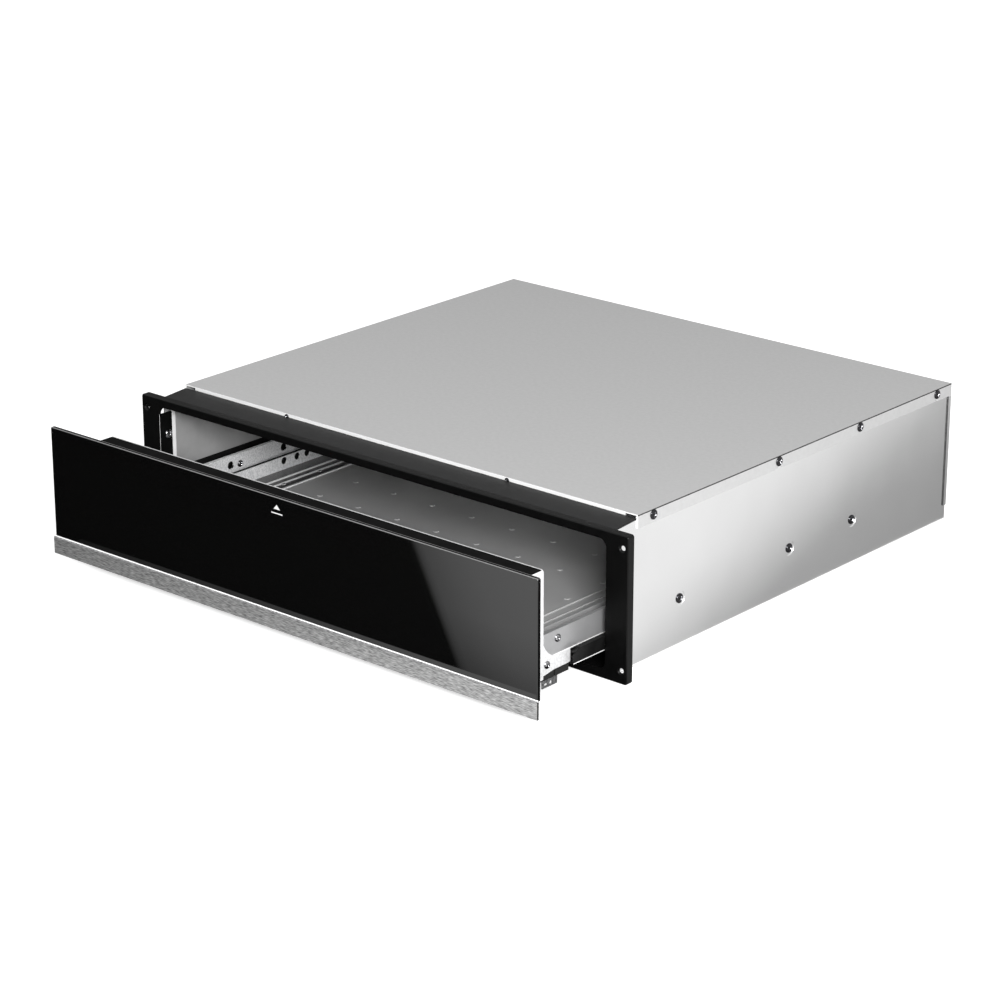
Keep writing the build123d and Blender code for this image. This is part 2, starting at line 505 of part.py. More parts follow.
with BuildPart() as handle_strip:
    glass_front = DOOR_BACK - GLASS_T
    strip_front = glass_front - STRIP_PROUD
    with BuildSketch(side_face(-FACE_W / 2)):
        with BuildLine():
            Polyline(
                (strip_front, STRIP_Z0),
                (strip_front, GLASS_Z0),
                (glass_front - STRIP_LIP_T, GLASS_Z0 + STRIP_LIP),
                (glass_front, GLASS_Z0 + STRIP_LIP),
                (glass_front, GLASS_Z0),
                (strip_front + STRIP_T, GLASS_Z0),
                (strip_front + STRIP_T, STRIP_Z0),
                close=True,
            )
        make_face()
    extrude(amount=FACE_W)

SWITCH_CASE_W, SWITCH_CASE_H = SWITCH_W - 3, SWITCH_H - 3
with BuildPart() as door_inner_box:
    block(-BOX_X, BOX_X, DOOR_BACK, BOX_BACK, BOX_Z0, BOX_Z1)
    fillet(door_inner_box.edges().filter_by(Axis.Y).group_by(Axis.Z)[-1], BOX_R)
    fillet(door_inner_box.faces().sort_by(Axis.Y)[-1].outer_wire().edges(), 0.8)
    block(
        -BOX_X + BOX_T, BOX_X - BOX_T, DOOR_BACK, BOX_BACK - BOX_T, BOX_Z0 + BOX_T, BOX_Z1 - BOX_T,
        Mode.SUBTRACT,
    )
    depth_rod(SPINDLE_R + HOLE_CLEAR, KNOB_X, CONTROL_Z, BOX_BACK - BOX_T, BOX_BACK, Mode.SUBTRACT)
    depth_rod(LAMP_R - 1 + HOLE_CLEAR, LAMP_X, CONTROL_Z, BOX_BACK - BOX_T, BOX_BACK, Mode.SUBTRACT)
    block(
        SWITCH_X - SWITCH_CASE_W / 2, SWITCH_X + SWITCH_CASE_W / 2, BOX_BACK - BOX_T, BOX_BACK,
        CONTROL_Z - SWITCH_CASE_H / 2, CONTROL_Z + SWITCH_CASE_H / 2, Mode.SUBTRACT,
    )

BRACKET_Z1 = 84.0
BRACKET_WAIST_Z = 62.0
BRACKET_ARM_Z = 38.0
BRACKET_INSET = 3.0
BRACKET_Z0 = 23.0
with BuildPart() as right_door_bracket:
    with BuildSketch(side_face(BOX_X)):
        with BuildLine():
            waist = (BOX_BACK - BRACKET_INSET, BRACKET_WAIST_Z)
            arm = (BOX_BACK + 13, BRACKET_ARM_Z)
            ThreePointArc(waist, (BOX_BACK + 1, BRACKET_ARM_Z + 9), arm)
            Polyline(
                arm,
                (INNER_FRONT, BRACKET_ARM_Z),
                (INNER_FRONT, SIDE_Z0 + 1.4),
                (BOX_BACK + 13, SIDE_Z0 + 1.2),
                (BOX_BACK - BRACKET_INSET, BRACKET_Z0),
                (DOOR_BACK + 4, BRACKET_Z0),
                (DOOR_BACK + 4, BRACKET_Z1),
                (BOX_BACK - BRACKET_INSET, BRACKET_Z1),
                waist,
            )
        make_face()
    extrude(amount=BRACKET_T)

with BuildPart() as left_door_bracket:
    mirror(right_door_bracket.part, about=Plane.YZ)

LATCH_PIECE_W, LATCH_PIECE_Z0, LATCH_NOTCH_D = 13.0, 18.0, 2.0
LATCH_BODY_D, LATCH_PIECE_D = 13.5, 33.0
TAB_Z0, TAB_T, TAB_FRONT, TAB_D, TAB_W = 11.0, 1.0, -2.0, 18.0, 12.0
with BuildPart() as adjuster_tabs:
    for side in (-1, 1):
        flange = sorted((side * (BOX_X - TAB_W), side * BOX_X))
        tab = sorted((side * (BOX_X - TAB_T), side * BOX_X))
        run = (BOX_BACK + TAB_FRONT, BOX_BACK + TAB_D)
        block(*flange, *run, LATCH_PIECE_Z0 - TAB_T, LATCH_PIECE_Z0)
        block(*tab, *run, TAB_Z0, LATCH_PIECE_Z0 - TAB_T)
        side_rod(1.7, *tab, BOX_BACK + 9.5, TAB_Z0 + 3.2, Mode.SUBTRACT)
        block(*tab, BOX_BACK + 1, BOX_BACK + 5, TAB_Z0 + 1.8, TAB_Z0 + 4.2, Mode.SUBTRACT)

with BuildPart() as door_latches:
    for side in (-1, 1):
        latch = sorted((side * (BOX_X - LATCH_PIECE_W), side * BOX_X))
        notch = sorted((side * (BOX_X - 3), side * BOX_X))
        notch_front = BOX_BACK + LATCH_BODY_D
        block(*latch, BOX_BACK, BOX_BACK + LATCH_PIECE_D, LATCH_PIECE_Z0, SIDE_Z0)
        block(
            *notch, notch_front, notch_front + LATCH_NOTCH_D, LATCH_PIECE_Z0, SIDE_Z0, Mode.SUBTRACT
        )

with BuildPart() as door_bumpers:
    for x in (-(FACE_W / 2 - BUMPER_INSET_X), FACE_W / 2 - BUMPER_INSET_X):
        for z in (BUMPER_INSET_Z, FRAME_H - BUMPER_INSET_Z):
            depth_rod(BUMPER_R, x, z, DOOR_BACK, DOOR_BACK + FRONT_GAP - MOVE_CLEAR)

# ---- Drawer sides, floor and heater ----
RAIL_HOLES, RAIL_HOLE_R = (81.5, 155.0), 3.8
RAIL_SCREW_IN, RAIL_SCREW_IN_Z = 94.0, 48.2
RAIL_SCREW_OUT, RAIL_SCREW_OUT_Z = -52.0, 52.0
with BuildPart() as right_side_rail:
    block(SIDE_IN, BOX_X, BOX_BACK, DRAWER_BACK, SIDE_Z0, SIDE_Z1)
    block(SIDE_IN - 2, SIDE_IN, BOX_BACK, DRAWER_BACK - SIDE_T, SIDE_Z1 - SIDE_T, SIDE_Z1)
    for depth in RAIL_HOLES:
        side_rod(RAIL_HOLE_R, SIDE_IN, BOX_X, depth, RAIL_SCREW_IN_Z + 1.2, Mode.SUBTRACT)
    side_rod(SHANK_R + HOLE_CLEAR, SIDE_IN, BOX_X, RAIL_SCREW_IN, RAIL_SCREW_IN_Z, Mode.SUBTRACT)
    side_rod(SHANK_R + HOLE_CLEAR, SIDE_IN, BOX_X, RAIL_SCREW_OUT, RAIL_SCREW_OUT_Z, Mode.SUBTRACT)

with BuildPart() as left_side_rail:
    mirror(right_side_rail.part, about=Plane.YZ)

with BuildPart() as rail_screws:
    for side in (-1, 1):
        outer_head = sorted((side * BOX_X, side * (BOX_X + HEAD_H)))
        inner_head = sorted((side * (SIDE_IN - HEAD_H), side * SIDE_IN))
        shank = sorted((side * SIDE_IN, side * BOX_X))
        side_rod(HEAD_R, *outer_head, RAIL_SCREW_OUT, RAIL_SCREW_OUT_Z)
        side_rod(SHANK_R, *shank, RAIL_SCREW_OUT, RAIL_SCREW_OUT_Z)
        side_rod(HEAD_R, *inner_head, RAIL_SCREW_IN, RAIL_SCREW_IN_Z)
        side_rod(SHANK_R, *shank, RAIL_SCREW_IN, RAIL_SCREW_IN_Z)

SLOTS, SLOT_PITCH, SLOT_W, SLOT_Z0, SLOT_Z1 = 7, 10.0, 4.0, 68.0, 98.0  # air slots before the fan
with BuildPart() as drawer_rear_rail:
    block(-SIDE_IN, SIDE_IN, DRAWER_BACK - SIDE_T, DRAWER_BACK, PAN_Z, BOX_Z1)
    for number in range(SLOTS):
        slot_x = (number - (SLOTS - 1) / 2) * SLOT_PITCH
        block(
            slot_x - SLOT_W / 2, slot_x + SLOT_W / 2, DRAWER_BACK - SIDE_T, DRAWER_BACK,
            SLOT_Z0, SLOT_Z1, Mode.SUBTRACT,
        )

with BuildPart() as drawer_pan:
    block(-SIDE_IN, SIDE_IN, BOX_BACK, DRAWER_BACK, SIDE_Z0, PAN_Z)

DOT_FIRST = 20.0  # from the inner box to the first row of dots
RIM_HOLES, RIM_HOLE_R = (131.5, 149.8, 163.9), 3.4
floor_run = (BOX_BACK, DRAWER_BACK - SIDE_T)
with BuildPart() as floor_plate:
    block(-FLOOR_X, FLOOR_X, *floor_run, FLOOR_Z - FLOOR_T, FLOOR_Z)
    for side in (-1, 1):
        rim = sorted((side * (FLOOR_X - FLOOR_T), side * FLOOR_X))
        block(*rim, *floor_run, PAN_Z, FLOOR_RIM_Z)
        for depth in RIM_HOLES:
            side_rod(RIM_HOLE_R, *rim, depth, FLOOR_RIM_Z - 4.5, Mode.SUBTRACT)
        for inset in BEAD_INSETS:
            bead = sorted((side * (FLOOR_X - inset), side * (FLOOR_X - inset - BEAD_W)))
            block(*bead, *floor_run, FLOOR_Z, FLOOR_Z + BEAD_H)
    dots_mid = FRONT_Y + BOX_BACK + DOT_FIRST + (DOT_ROWS - 1) * DOT_PITCH / 2
    with BuildSketch(Plane.XY.offset(FLOOR_Z)):
        with Locations((DOT_OFFSET_X, dots_mid)):
            with GridLocations(DOT_PITCH, DOT_PITCH, DOT_COLUMNS, DOT_ROWS):
                Circle(DOT_R)
    extrude(amount=DOT_H, taper=45)

with BuildPart() as insulation_board:
    board_x = FLOOR_X - FLOOR_T - 1
    block(-board_x, board_x, BOX_BACK + 2, DRAWER_BACK - SIDE_T - 2, PAN_Z, PAN_Z + BOARD_T)

# A tube with six legs that runs back and forth over the board.
HEATER_LEGS, HEATER_PITCH, HEATER_BEND = 6, 60.0, 25.0
HEATER_MARGIN = 30.0
heater_points = []
for leg in range(HEATER_LEGS):
    leg_x = (leg - (HEATER_LEGS - 1) / 2) * HEATER_PITCH
    ends = (FRONT_Y + DRAWER_BACK - HEATER_MARGIN, FRONT_Y + BOX_BACK + HEATER_MARGIN)
    for end in ends if leg % 2 == 0 else ends[::-1]:
        heater_points.append((leg_x, end, PAN_Z + BOARD_T + HOLE_CLEAR + HEATER_R))
with BuildPart() as heating_element:
    with BuildLine() as heater_path:
        FilletPolyline(*heater_points, radius=HEATER_BEND)
    with BuildSketch(Plane(origin=heater_path.wire() @ 0, z_dir=heater_path.wire() % 0)):
        Circle(HEATER_R)
    sweep(path=heater_path.wire())

# ---- Controls on the back of the inner box ----
with BuildPart() as thermostat_body:
    half = THERMOSTAT_W / 2
    block(
        KNOB_X - half, KNOB_X + half, BOX_BACK - BOX_T - THERMOSTAT_D, BOX_BACK - BOX_T,
        CONTROL_Z - half, CONTROL_Z + half,
    )
    fillet(thermostat_body.edges().filter_by(Axis.Y), 4)
    depth_rod(SPINDLE_R, KNOB_X, CONTROL_Z, BOX_BACK - BOX_T, BOX_BACK + KNOB_H - 4)

with BuildPart() as thermostat_knob:
    depth_rod(KNOB_R, KNOB_X, CONTROL_Z, BOX_BACK + 0.5, BOX_BACK + KNOB_H / 2)
    block(
        KNOB_X - 3.5, KNOB_X + 3.5, BOX_BACK + KNOB_H / 2, BOX_BACK + KNOB_H,
        CONTROL_Z - KNOB_R + 1, CONTROL_Z + KNOB_R - 1,
    )
    depth_rod(
        SPINDLE_R + FIT_CLEAR, KNOB_X, CONTROL_Z, BOX_BACK, BOX_BACK + KNOB_H - 3.5, Mode.SUBTRACT
    )

SWITCH_POCKET = 4.0
with BuildPart() as switch_body:
    block(
        SWITCH_X - SWITCH_W / 2, SWITCH_X + SWITCH_W / 2, BOX_BACK, BOX_BACK + 2,
        CONTROL_Z - SWITCH_H / 2, CONTROL_Z + SWITCH_H / 2,
    )
    block(
        SWITCH_X - SWITCH_CASE_W / 2, SWITCH_X + SWITCH_CASE_W / 2, BOX_BACK - SWITCH_D, BOX_BACK,
        CONTROL_Z - SWITCH_CASE_H / 2, CONTROL_Z + SWITCH_CASE_H / 2,
    )
    block(
        SWITCH_X - ROCKER_W / 2 - 0.5, SWITCH_X + ROCKER_W / 2 + 0.5,
        BOX_BACK - SWITCH_POCKET, BOX_BACK + 2,
        CONTROL_Z - ROCKER_H / 2 - 0.8, CONTROL_Z + ROCKER_H / 2 + 0.8, Mode.SUBTRACT,
    )

ROCKER_TILT = 7.0
rocker_plane = Plane(
    origin=(SWITCH_X - ROCKER_W / 2, FRONT_Y + BOX_BACK - 1, CONTROL_Z), x_dir=(0, 1, 0), z_dir=(1, 0, 0)
).rotated((ROCKER_TILT, 0, 0))
with BuildPart() as switch_rocker:
    with BuildSketch(rocker_plane):
        with BuildLine():
            Polyline(
                (-1.5, -8), (-1.5, 8), (4.5, ROCKER_H / 2), (2.8, 0), (4.5, -ROCKER_H / 2), close=True
            )
        make_face()
    extrude(amount=ROCKER_W)
    side_rod(1, SWITCH_X - ROCKER_W / 2 - 0.4, SWITCH_X + ROCKER_W / 2 + 0.4, BOX_BACK - 1, CONTROL_Z)

with BuildPart() as pilot_lamp:
    depth_rod(LAMP_R, LAMP_X, CONTROL_Z, BOX_BACK, BOX_BACK + 2.5)
    fillet(pilot_lamp.faces().sort_by(Axis.Y)[-1].edges(), 1.5)
    depth_rod(LAMP_R - 1, LAMP_X, CONTROL_Z, BOX_BACK - 14, BOX_BACK)

# ---- Every piece, under its name ----
pieces = {
    "base_plate": base_plate,
    "left_side_wall": left_side_wall,
    "right_side_wall": right_side_wall,
    "rear_panel": rear_panel,
    "top_cover": top_cover,
    "front_frame": front_frame,
    "front_rail": front_rail,
    "fan_housing": fan_housing,
    "fan_motor": fan_motor,
    "fan_wheel": fan_wheel,
    "push_latch_body": push_latch_body,
    "push_latch_plunger": push_latch_plunger,
    "terminal_box": terminal_box,
    "mains_gland": mains_gland,
    "gland_nut": gland_nut,
    "cover_side_screws": cover_side_screws,
    "cover_lip_screws": cover_lip_screws,
    "slide_screws": slide_screws,
    "frame_side_screws": frame_side_screws,
    "rear_screws": rear_screws,
    "left_slide_outer": left_slide_outer,
    "right_slide_outer": right_slide_outer,
    "left_slide_middle": left_slide_middle,
    "right_slide_middle": right_slide_middle,
    "left_slide_inner": left_slide_inner,
    "right_slide_inner": right_slide_inner,
    "left_slide_balls": left_slide_balls,
    "right_slide_balls": right_slide_balls,
    "left_ball_cages": left_ball_cages,
    "right_ball_cages": right_ball_cages,
    "front_glass": front_glass,
    "handle_strip": handle_strip,
    "door_inner_box": door_inner_box,
    "left_door_bracket": left_door_bracket,
    "right_door_bracket": right_door_bracket,
    "adjuster_tabs": adjuster_tabs,
    "door_latches": door_latches,
    "door_bumpers": door_bumpers,
    "left_side_rail": left_side_rail,
    "right_side_rail": right_side_rail,
    "rail_screws": rail_screws,
    "drawer_rear_rail": drawer_rear_rail,
    "drawer_pan": drawer_pan,
    "floor_plate": floor_plate,
    "insulation_board": insulation_board,
    "heating_element": heating_element,
    "thermostat_body": thermostat_body,
    "thermostat_knob": thermostat_knob,
    "switch_body": switch_body,
    "switch_rocker": switch_rocker,
    "pilot_lamp": pilot_lamp,
}
for name, piece in pieces.items():
    piece.part.label = name
    export_step(piece.part, f"parts/{name}.step")
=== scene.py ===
# %% [markdown]
# # Built in warming drawer
# The real object is a flat steel box for a kitchen niche, with a black frame and a glass-fronted drawer
# that stands a little way out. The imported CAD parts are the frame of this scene: every piece made here
# lies where a CAD part lies, so nothing has to be fitted by eye.

# %% Load the CAD frame
import math
import bmesh
import bpy
from mathutils import Matrix, Vector


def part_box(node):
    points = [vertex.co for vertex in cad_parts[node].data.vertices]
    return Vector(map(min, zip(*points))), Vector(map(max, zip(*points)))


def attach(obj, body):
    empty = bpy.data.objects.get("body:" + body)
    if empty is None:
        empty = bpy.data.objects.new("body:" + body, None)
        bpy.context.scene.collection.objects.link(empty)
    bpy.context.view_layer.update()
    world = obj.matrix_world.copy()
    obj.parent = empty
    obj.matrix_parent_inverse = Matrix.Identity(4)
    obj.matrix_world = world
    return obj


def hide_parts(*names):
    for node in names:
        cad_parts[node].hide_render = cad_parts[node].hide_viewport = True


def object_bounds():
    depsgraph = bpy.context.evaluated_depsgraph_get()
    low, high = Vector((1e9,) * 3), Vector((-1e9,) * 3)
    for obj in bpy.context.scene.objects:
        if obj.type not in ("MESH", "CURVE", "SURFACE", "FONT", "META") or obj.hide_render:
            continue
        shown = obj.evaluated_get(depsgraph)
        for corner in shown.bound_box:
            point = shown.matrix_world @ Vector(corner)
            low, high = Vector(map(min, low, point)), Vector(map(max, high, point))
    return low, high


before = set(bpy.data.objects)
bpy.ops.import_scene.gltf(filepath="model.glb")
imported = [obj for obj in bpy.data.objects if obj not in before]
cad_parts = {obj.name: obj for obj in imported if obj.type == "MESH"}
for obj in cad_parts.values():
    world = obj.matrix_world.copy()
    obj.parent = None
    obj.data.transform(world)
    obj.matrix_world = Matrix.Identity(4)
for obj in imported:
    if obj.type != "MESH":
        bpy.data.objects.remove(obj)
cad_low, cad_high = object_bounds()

MM = 0.001
FRONT_Y = -265 * MM  # the front plane of the black frame
print("CAD box", [round(v, 4) for v in cad_low], [round(v, 4) for v in cad_high])

# %% [markdown]
# The camera comes first, because everything is judged through it. Its place was worked out from the
# straight edges of the real object: it stands 41 degrees to the right of the front and looks down 20
# degrees, with a long lens, as product photographers do to keep the edges nearly parallel.

# %% Camera
SENSOR_MM, FOCAL_PIXELS, PICTURE_PIXELS = 36.0, 3169.8, 1000
azimuth, elevation = math.radians(40.83), math.radians(20.01)
back = Vector((
    math.sin(azimuth) * math.cos(elevation),
    -math.cos(azimuth) * math.cos(elevation),
    math.sin(elevation),
))
camera_data = bpy.data.cameras.new("camera")
camera_data.sensor_width = SENSOR_MM
camera_data.lens = FOCAL_PIXELS * SENSOR_MM / PICTURE_PIXELS
camera_data.clip_end = 50
camera = bpy.data.objects.new("camera", camera_data)
camera.location = (1.8435, FRONT_Y - 1.9542, 1.0759)
camera.rotation_euler = (-back).to_track_quat("-Z", "Y").to_euler()
bpy.context.scene.collection.objects.link(camera)
bpy.context.scene.camera = camera
print("lens", round(camera_data.lens, 1), "mm")

# %% [markdown]
# Colours are written as the hex values a painter would pick, and one function turns them to the linear
# numbers that Blender's shaders work in. Another adds a node with its settings and links, so that all
# node trees below read as short lists. A third gives a place in the millimetres of a drawing.

# %% Place, colour and node helpers
def at(x, depth, z):
    """Millimetres across, behind the frame's front plane and above the base, as a point in metres."""
    return Vector((x * MM, FRONT_Y + depth * MM, z * MM))


def linear(hex_colour, alpha=1.0):
    """sRGB hex to the linear colour that a shader socket holds."""
    channels = [int(hex_colour[i:i + 2], 16) / 255 for i in (1, 3, 5)]
    return (*[c / 12.92 if c <= 0.04045 else ((c + 0.055) / 1.055) ** 2.4 for c in channels], alpha)


def node(tree, kind, settings=None, inputs=None, links=()):
    """Adds a node, sets its properties and sockets, and links (output, node, input) away from it."""
    new = tree.nodes.new(kind)
    for name, value in (settings or {}).items():
        setattr(new, name, value)
    for name, value in (inputs or {}).items():
        new.inputs[name].default_value = value
    for output, target, socket in links:
        tree.links.new(new.outputs[output], target.inputs[socket])
    return new


print("10 mm behind the frame:", [round(v, 3) for v in at(0, 10, 0)])
print("mid grey in linear light:", round(linear("#808080")[0], 3))

# %% [markdown]
# A finish starts as one shader with plain numbers. Three functions then add what real surfaces have: a
# colour that wanders a little, a fine relief and a roughness that isn't even. Their patches have a real
# size in millimetres, and a stretch below 1 draws them out along that axis.

# %% Finish helpers
def finish_of(name, base, metallic=0.0, roughness=0.5, ior=1.5, specular=0.5):
    """A new material with its main shader; constants sit on the shader's own sockets."""
    material = bpy.data.materials.new(name)
    material.use_nodes = True
    shader = material.node_tree.nodes["Principled BSDF"]
    shader.inputs["Base Color"].default_value = linear(base)
    shader.inputs["Metallic"].default_value = metallic
    shader.inputs["Roughness"].default_value = roughness
    shader.inputs["IOR"].default_value = ior
    shader.inputs["Specular IOR Level"].default_value = specular
    return material, material.node_tree, shader


def noise_in_mm(tree, size_mm, stretch, detail, links):
    """Noise on object coordinates, with patches of a real size."""
    settings = {"Scale": 1.0 / (size_mm * MM), "Detail": detail}
    noise = node(tree, "ShaderNodeTexNoise", inputs=settings, links=links)
    mapping = node(tree, "ShaderNodeMapping", inputs={"Scale": stretch}, links=[("Vector", noise, "Vector")])
    node(tree, "ShaderNodeTexCoord", links=[("Object", mapping, "Vector")])


def mottle(tree, shader, base, other, size_mm, stretch=(1, 1, 1), detail=4.0):
    """Colour that wanders between two hex values in patches of a real size."""
    ramp = node(tree, "ShaderNodeValToRGB", links=[("Color", shader, "Base Color")])
    for element, place, colour in zip(ramp.color_ramp.elements, (0.35, 0.65), (base, other)):
        element.position, element.color = place, linear(colour)
    noise_in_mm(tree, size_mm, stretch, detail, [("Fac", ramp, "Fac")])


def grain(tree, shader, size_mm, stretch=(1, 1, 1), strength=0.1, height_mm=0.02, detail=3.0):
    """Fine relief of a real size, as a bump on the shader."""
    bump = node(tree, "ShaderNodeBump", inputs={"Strength": strength, "Distance": height_mm * MM},
                links=[("Normal", shader, "Normal")])
    noise_in_mm(tree, size_mm, stretch, detail, [("Fac", bump, "Height")])


def rough_band(tree, shader, low, high, size_mm, stretch=(1, 1, 1)):
    """Roughness that wanders between two values in patches of a real size."""
    limits = {"From Min": 0.3, "From Max": 0.7, "To Min": low, "To Max": high}
    spread = node(tree, "ShaderNodeMapRange", inputs=limits, links=[("Result", shader, "Roughness")])
    noise_in_mm(tree, size_mm, stretch, 3.0, [("Fac", spread, "Value")])


print("three ways to break up a plain finish:", mottle.__name__, grain.__name__, rough_band.__name__)

# %% [markdown]
# The housing is galvanised steel sheet. Zinc dipped sheet has pale, faintly mottled crystals; the cover
# is a duller, even sheet and the walls are bright enough to mirror what stands beside them. Both are
# metals, so their brightness is a reflection, and only the roughness sets them apart.

# %% Sheet metal finishes
# rolled lightly after dipping, which flattens the zinc to an even satin
satin_cover, tree, shader = finish_of("skin-passed galvanised sheet, satin", "#c8c8c8", 0.6, 0.5)
mottle(tree, shader, "#c6c6c6", "#cacaca", 4.0)
grain(tree, shader, 0.8, strength=0.04)

# dipped, then pressed between polished rolls until it is nearly a mirror
bright_wall, tree, shader = finish_of("bright galvanised sheet, near mirror", "#ededed", 1.0, 0.2)
mottle(tree, shader, "#ebebeb", "#efefef", 90.0)
rough_band(tree, shader, 0.18, 0.24, 60.0)

# dipped and left as it cooled, so its fine crystals show
zinc_plate, tree, shader = finish_of("hot-dip galvanised steel, fine spangle", "#e8e9ea", 0.25, 0.42)
mottle(tree, shader, "#d4d5d6", "#fafafb", 1.6)
rough_band(tree, shader, 0.34, 0.5, 3.0)
grain(tree, shader, 1.2, strength=0.08)

# the inner side of such a sheet, which no roll has polished
inner_zinc, tree, shader = finish_of("galvanised sheet, dull inner side", "#acacac", 0.4, 0.45)
mottle(tree, shader, "#a6a6a6", "#b2b2b2", 30.0)
rough_band(tree, shader, 0.4, 0.5, 40.0)

# plated with zinc in a bath, which leaves no crystals
smooth_zinc, tree, shader = finish_of("electro-galvanised steel, smooth", "#dcdcdd", 0.3, 0.4)
mottle(tree, shader, "#d2d2d3", "#e6e6e7", 2.5)
rough_band(tree, shader, 0.36, 0.44, 10.0)

# stamped, plated and oiled
tab_steel, tree, shader = finish_of("zinc plated steel, oiled", "#8a8a8b", 0.7, 0.32)
mottle(tree, shader, "#6e6e6f", "#a6a6a7", 2.0)

# rolled cold, then plated a few thousandths of a millimetre thick
rail_steel, tree, shader = finish_of("cold-rolled steel, zinc flash", "#acacad", 0.6, 0.34)
mottle(tree, shader, "#a6a6a7", "#b2b2b3", 60.0)
rough_band(tree, shader, 0.3, 0.38, 40.0)

# near-white zinc for painted highlights, where bends, lips and edges catch the light
painted_highlight_zinc, tree, shader = finish_of("near-white zinc, painted highlight on bends and edges", "#f6f6f6", 0.15, 0.3)
mottle(tree, shader, "#f2f2f2", "#fafafa", 2.0, stretch=(0.1, 1, 1))

# dark grey for painted shade: dark lines along folds and gaps, and hollows that lie in shadow
painted_shade_grey, tree, shader = finish_of("sheet steel, bare in a sharp fold", "#2c2c2c", 0.2, 0.6)
mottle(tree, shader, "#282828", "#323232", 3.0)
print(len(bpy.data.materials), "materials so far")

# %% [markdown]
# The frame and the rail are powder coated. The powder melts into a tough skin with a slight orange
# peel: little waves about a millimetre apart that break up the highlights on an otherwise plain black.

# %% Powder coats
# powder baked to a hard semi-gloss skin
frame_coat, tree, shader = finish_of("black powder coat, semi-gloss", "#070707", 0.0, 0.38, specular=0.12)
mottle(tree, shader, "#060606", "#090909", 12.0)
grain(tree, shader, 1.1, strength=0.15, height_mm=0.03)

# the same powder with more matting agent
rail_coat, tree, shader = finish_of("black powder coat, satin", "#1a1a1a", 0.0, 0.5, specular=0.2)
mottle(tree, shader, "#181818", "#1c1c1c", 12.0)
grain(tree, shader, 1.1, strength=0.2, height_mm=0.03)
print(len(bpy.data.materials), "materials so far")

# %% [markdown]
# The front is glass printed black on its back, so it is a deep black with a hard mirror on top. The
# strip below it is brushed along its length. The scratches are finer than a picture can hold, so they
# are drawn in bundles eight tenths of a millimetre wide and a few millimetres long.

# %% Front finishes
# float glass, printed black on its back and toughened
black_glass, tree, shader = finish_of("back-printed black glass", "#080808", 0.0, 0.03, ior=1.75)
rough_band(tree, shader, 0.02, 0.04, 200.0)

# drawn past an abrasive belt along its length
brushed_strip, tree, shader = finish_of("stainless steel, brushed lengthways", "#adadad", 0.75, 0.42)
mottle(tree, shader, "#7a7a7a", "#cecece", 0.8, stretch=(0.12, 1, 1), detail=6.0)
grain(tree, shader, 0.3, stretch=(0.02, 1, 1), strength=0.3, height_mm=0.02, detail=6.0)

# ground by a diamond wheel and blacked with the print
glass_edge, tree, shader = finish_of("ground glass edge, blacked", "#0b0b0b", 0.0, 0.5, specular=0.0)
mottle(tree, shader, "#090909", "#0d0d0d", 1.0)

# the narrow chamfer of the same wheel, left pale
glass_arris, tree, shader = finish_of("ground glass arris, pale", "#6e6e6e", 0.0, 0.5)
mottle(tree, shader, "#666666", "#767676", 1.0)

# thin dull paint, sprayed on sheet
box_coat, tree, shader = finish_of("black painted sheet, dull", "#0f0f0f", 0.0, 0.6, specular=0.02)
mottle(tree, shader, "#0d0d0d", "#121212", 12.0)
grain(tree, shader, 1.1, strength=0.12, height_mm=0.03)

# floor steel darkened between the beads on the left side, a painted dark reflection
painted_reflection_steel, tree, shader = finish_of("bright annealed steel between the beads", "#5a5a5a", 0.7, 0.2)
mottle(tree, shader, "#545454", "#606060", 120.0)

# annealed bright and polished by its rolls, with large faint waves left
mirror_floor, tree, shader = finish_of("bright annealed steel floor", "#dadada", 0.5, 0.16)
mottle(tree, shader, "#d4d4d4", "#e0e0e0", 120.0)
rough_band(tree, shader, 0.12, 0.22, 50.0, stretch=(1, 0.3, 1))
grain(tree, shader, 60.0, strength=0.2, height_mm=0.25, detail=1.0)
print(len(bpy.data.materials), "materials so far")

# %% [markdown]
# The small parts: zinc plated screws, moulded plastics, rubber, and what is hidden at the back and
# under the floor. Each gets the colour and the grain of what it is made of.

# %% Small part finishes
# plated with zinc in a turning barrel, then passivated
screw_plate, tree, shader = finish_of("zinc plated screw steel, passivated", "#8e8e90", 1.0, 0.14)
mottle(tree, shader, "#7c7c7e", "#a0a0a2", 1.5)

# the same plating with a black passivation
dark_screw, tree, shader = finish_of("screw steel, black passivated", "#38383a", 1.0, 0.12)
mottle(tree, shader, "#303032", "#424244", 1.5)

# plated with zinc and blackened, as drawer slides are
black_zinc, tree, shader = finish_of("black zinc plated slide steel", "#1b1b1b", 0.5, 0.38, specular=0.3)
mottle(tree, shader, "#171717", "#202020", 10.0)
grain(tree, shader, 0.9, strength=0.06)

# hardened, ground and polished
bearing_steel, tree, shader = finish_of("polished bearing steel", "#d0d0d2", 1.0, 0.08)
rough_band(tree, shader, 0.06, 0.12, 2.0)

# moulded without any pigment
natural_nylon, tree, shader = finish_of("natural nylon, moulded", "#d9d6cc", 0.0, 0.45)
mottle(tree, shader, "#d4d1c6", "#dedbd2", 5.0)

# moulded in a spark-eroded tool, which leaves a fine grain
matt_plastic, tree, shader = finish_of("black ABS, moulded with a fine spark grain", "#191919", 0.0, 0.55)
mottle(tree, shader, "#161616", "#1d1d1d", 8.0)
grain(tree, shader, 0.5, strength=0.25, height_mm=0.03)

# moulded in a polished tool
gloss_plastic, tree, shader = finish_of("black ABS, moulded gloss", "#141414", 0.0, 0.18)
mottle(tree, shader, "#121212", "#171717", 10.0)

# clear red, moulded in a polished tool
lamp_lens, tree, shader = finish_of("red polycarbonate lens", "#b3230f", 0.0, 0.15, ior=1.58)
mottle(tree, shader, "#a81f0c", "#bf2a14", 3.0)

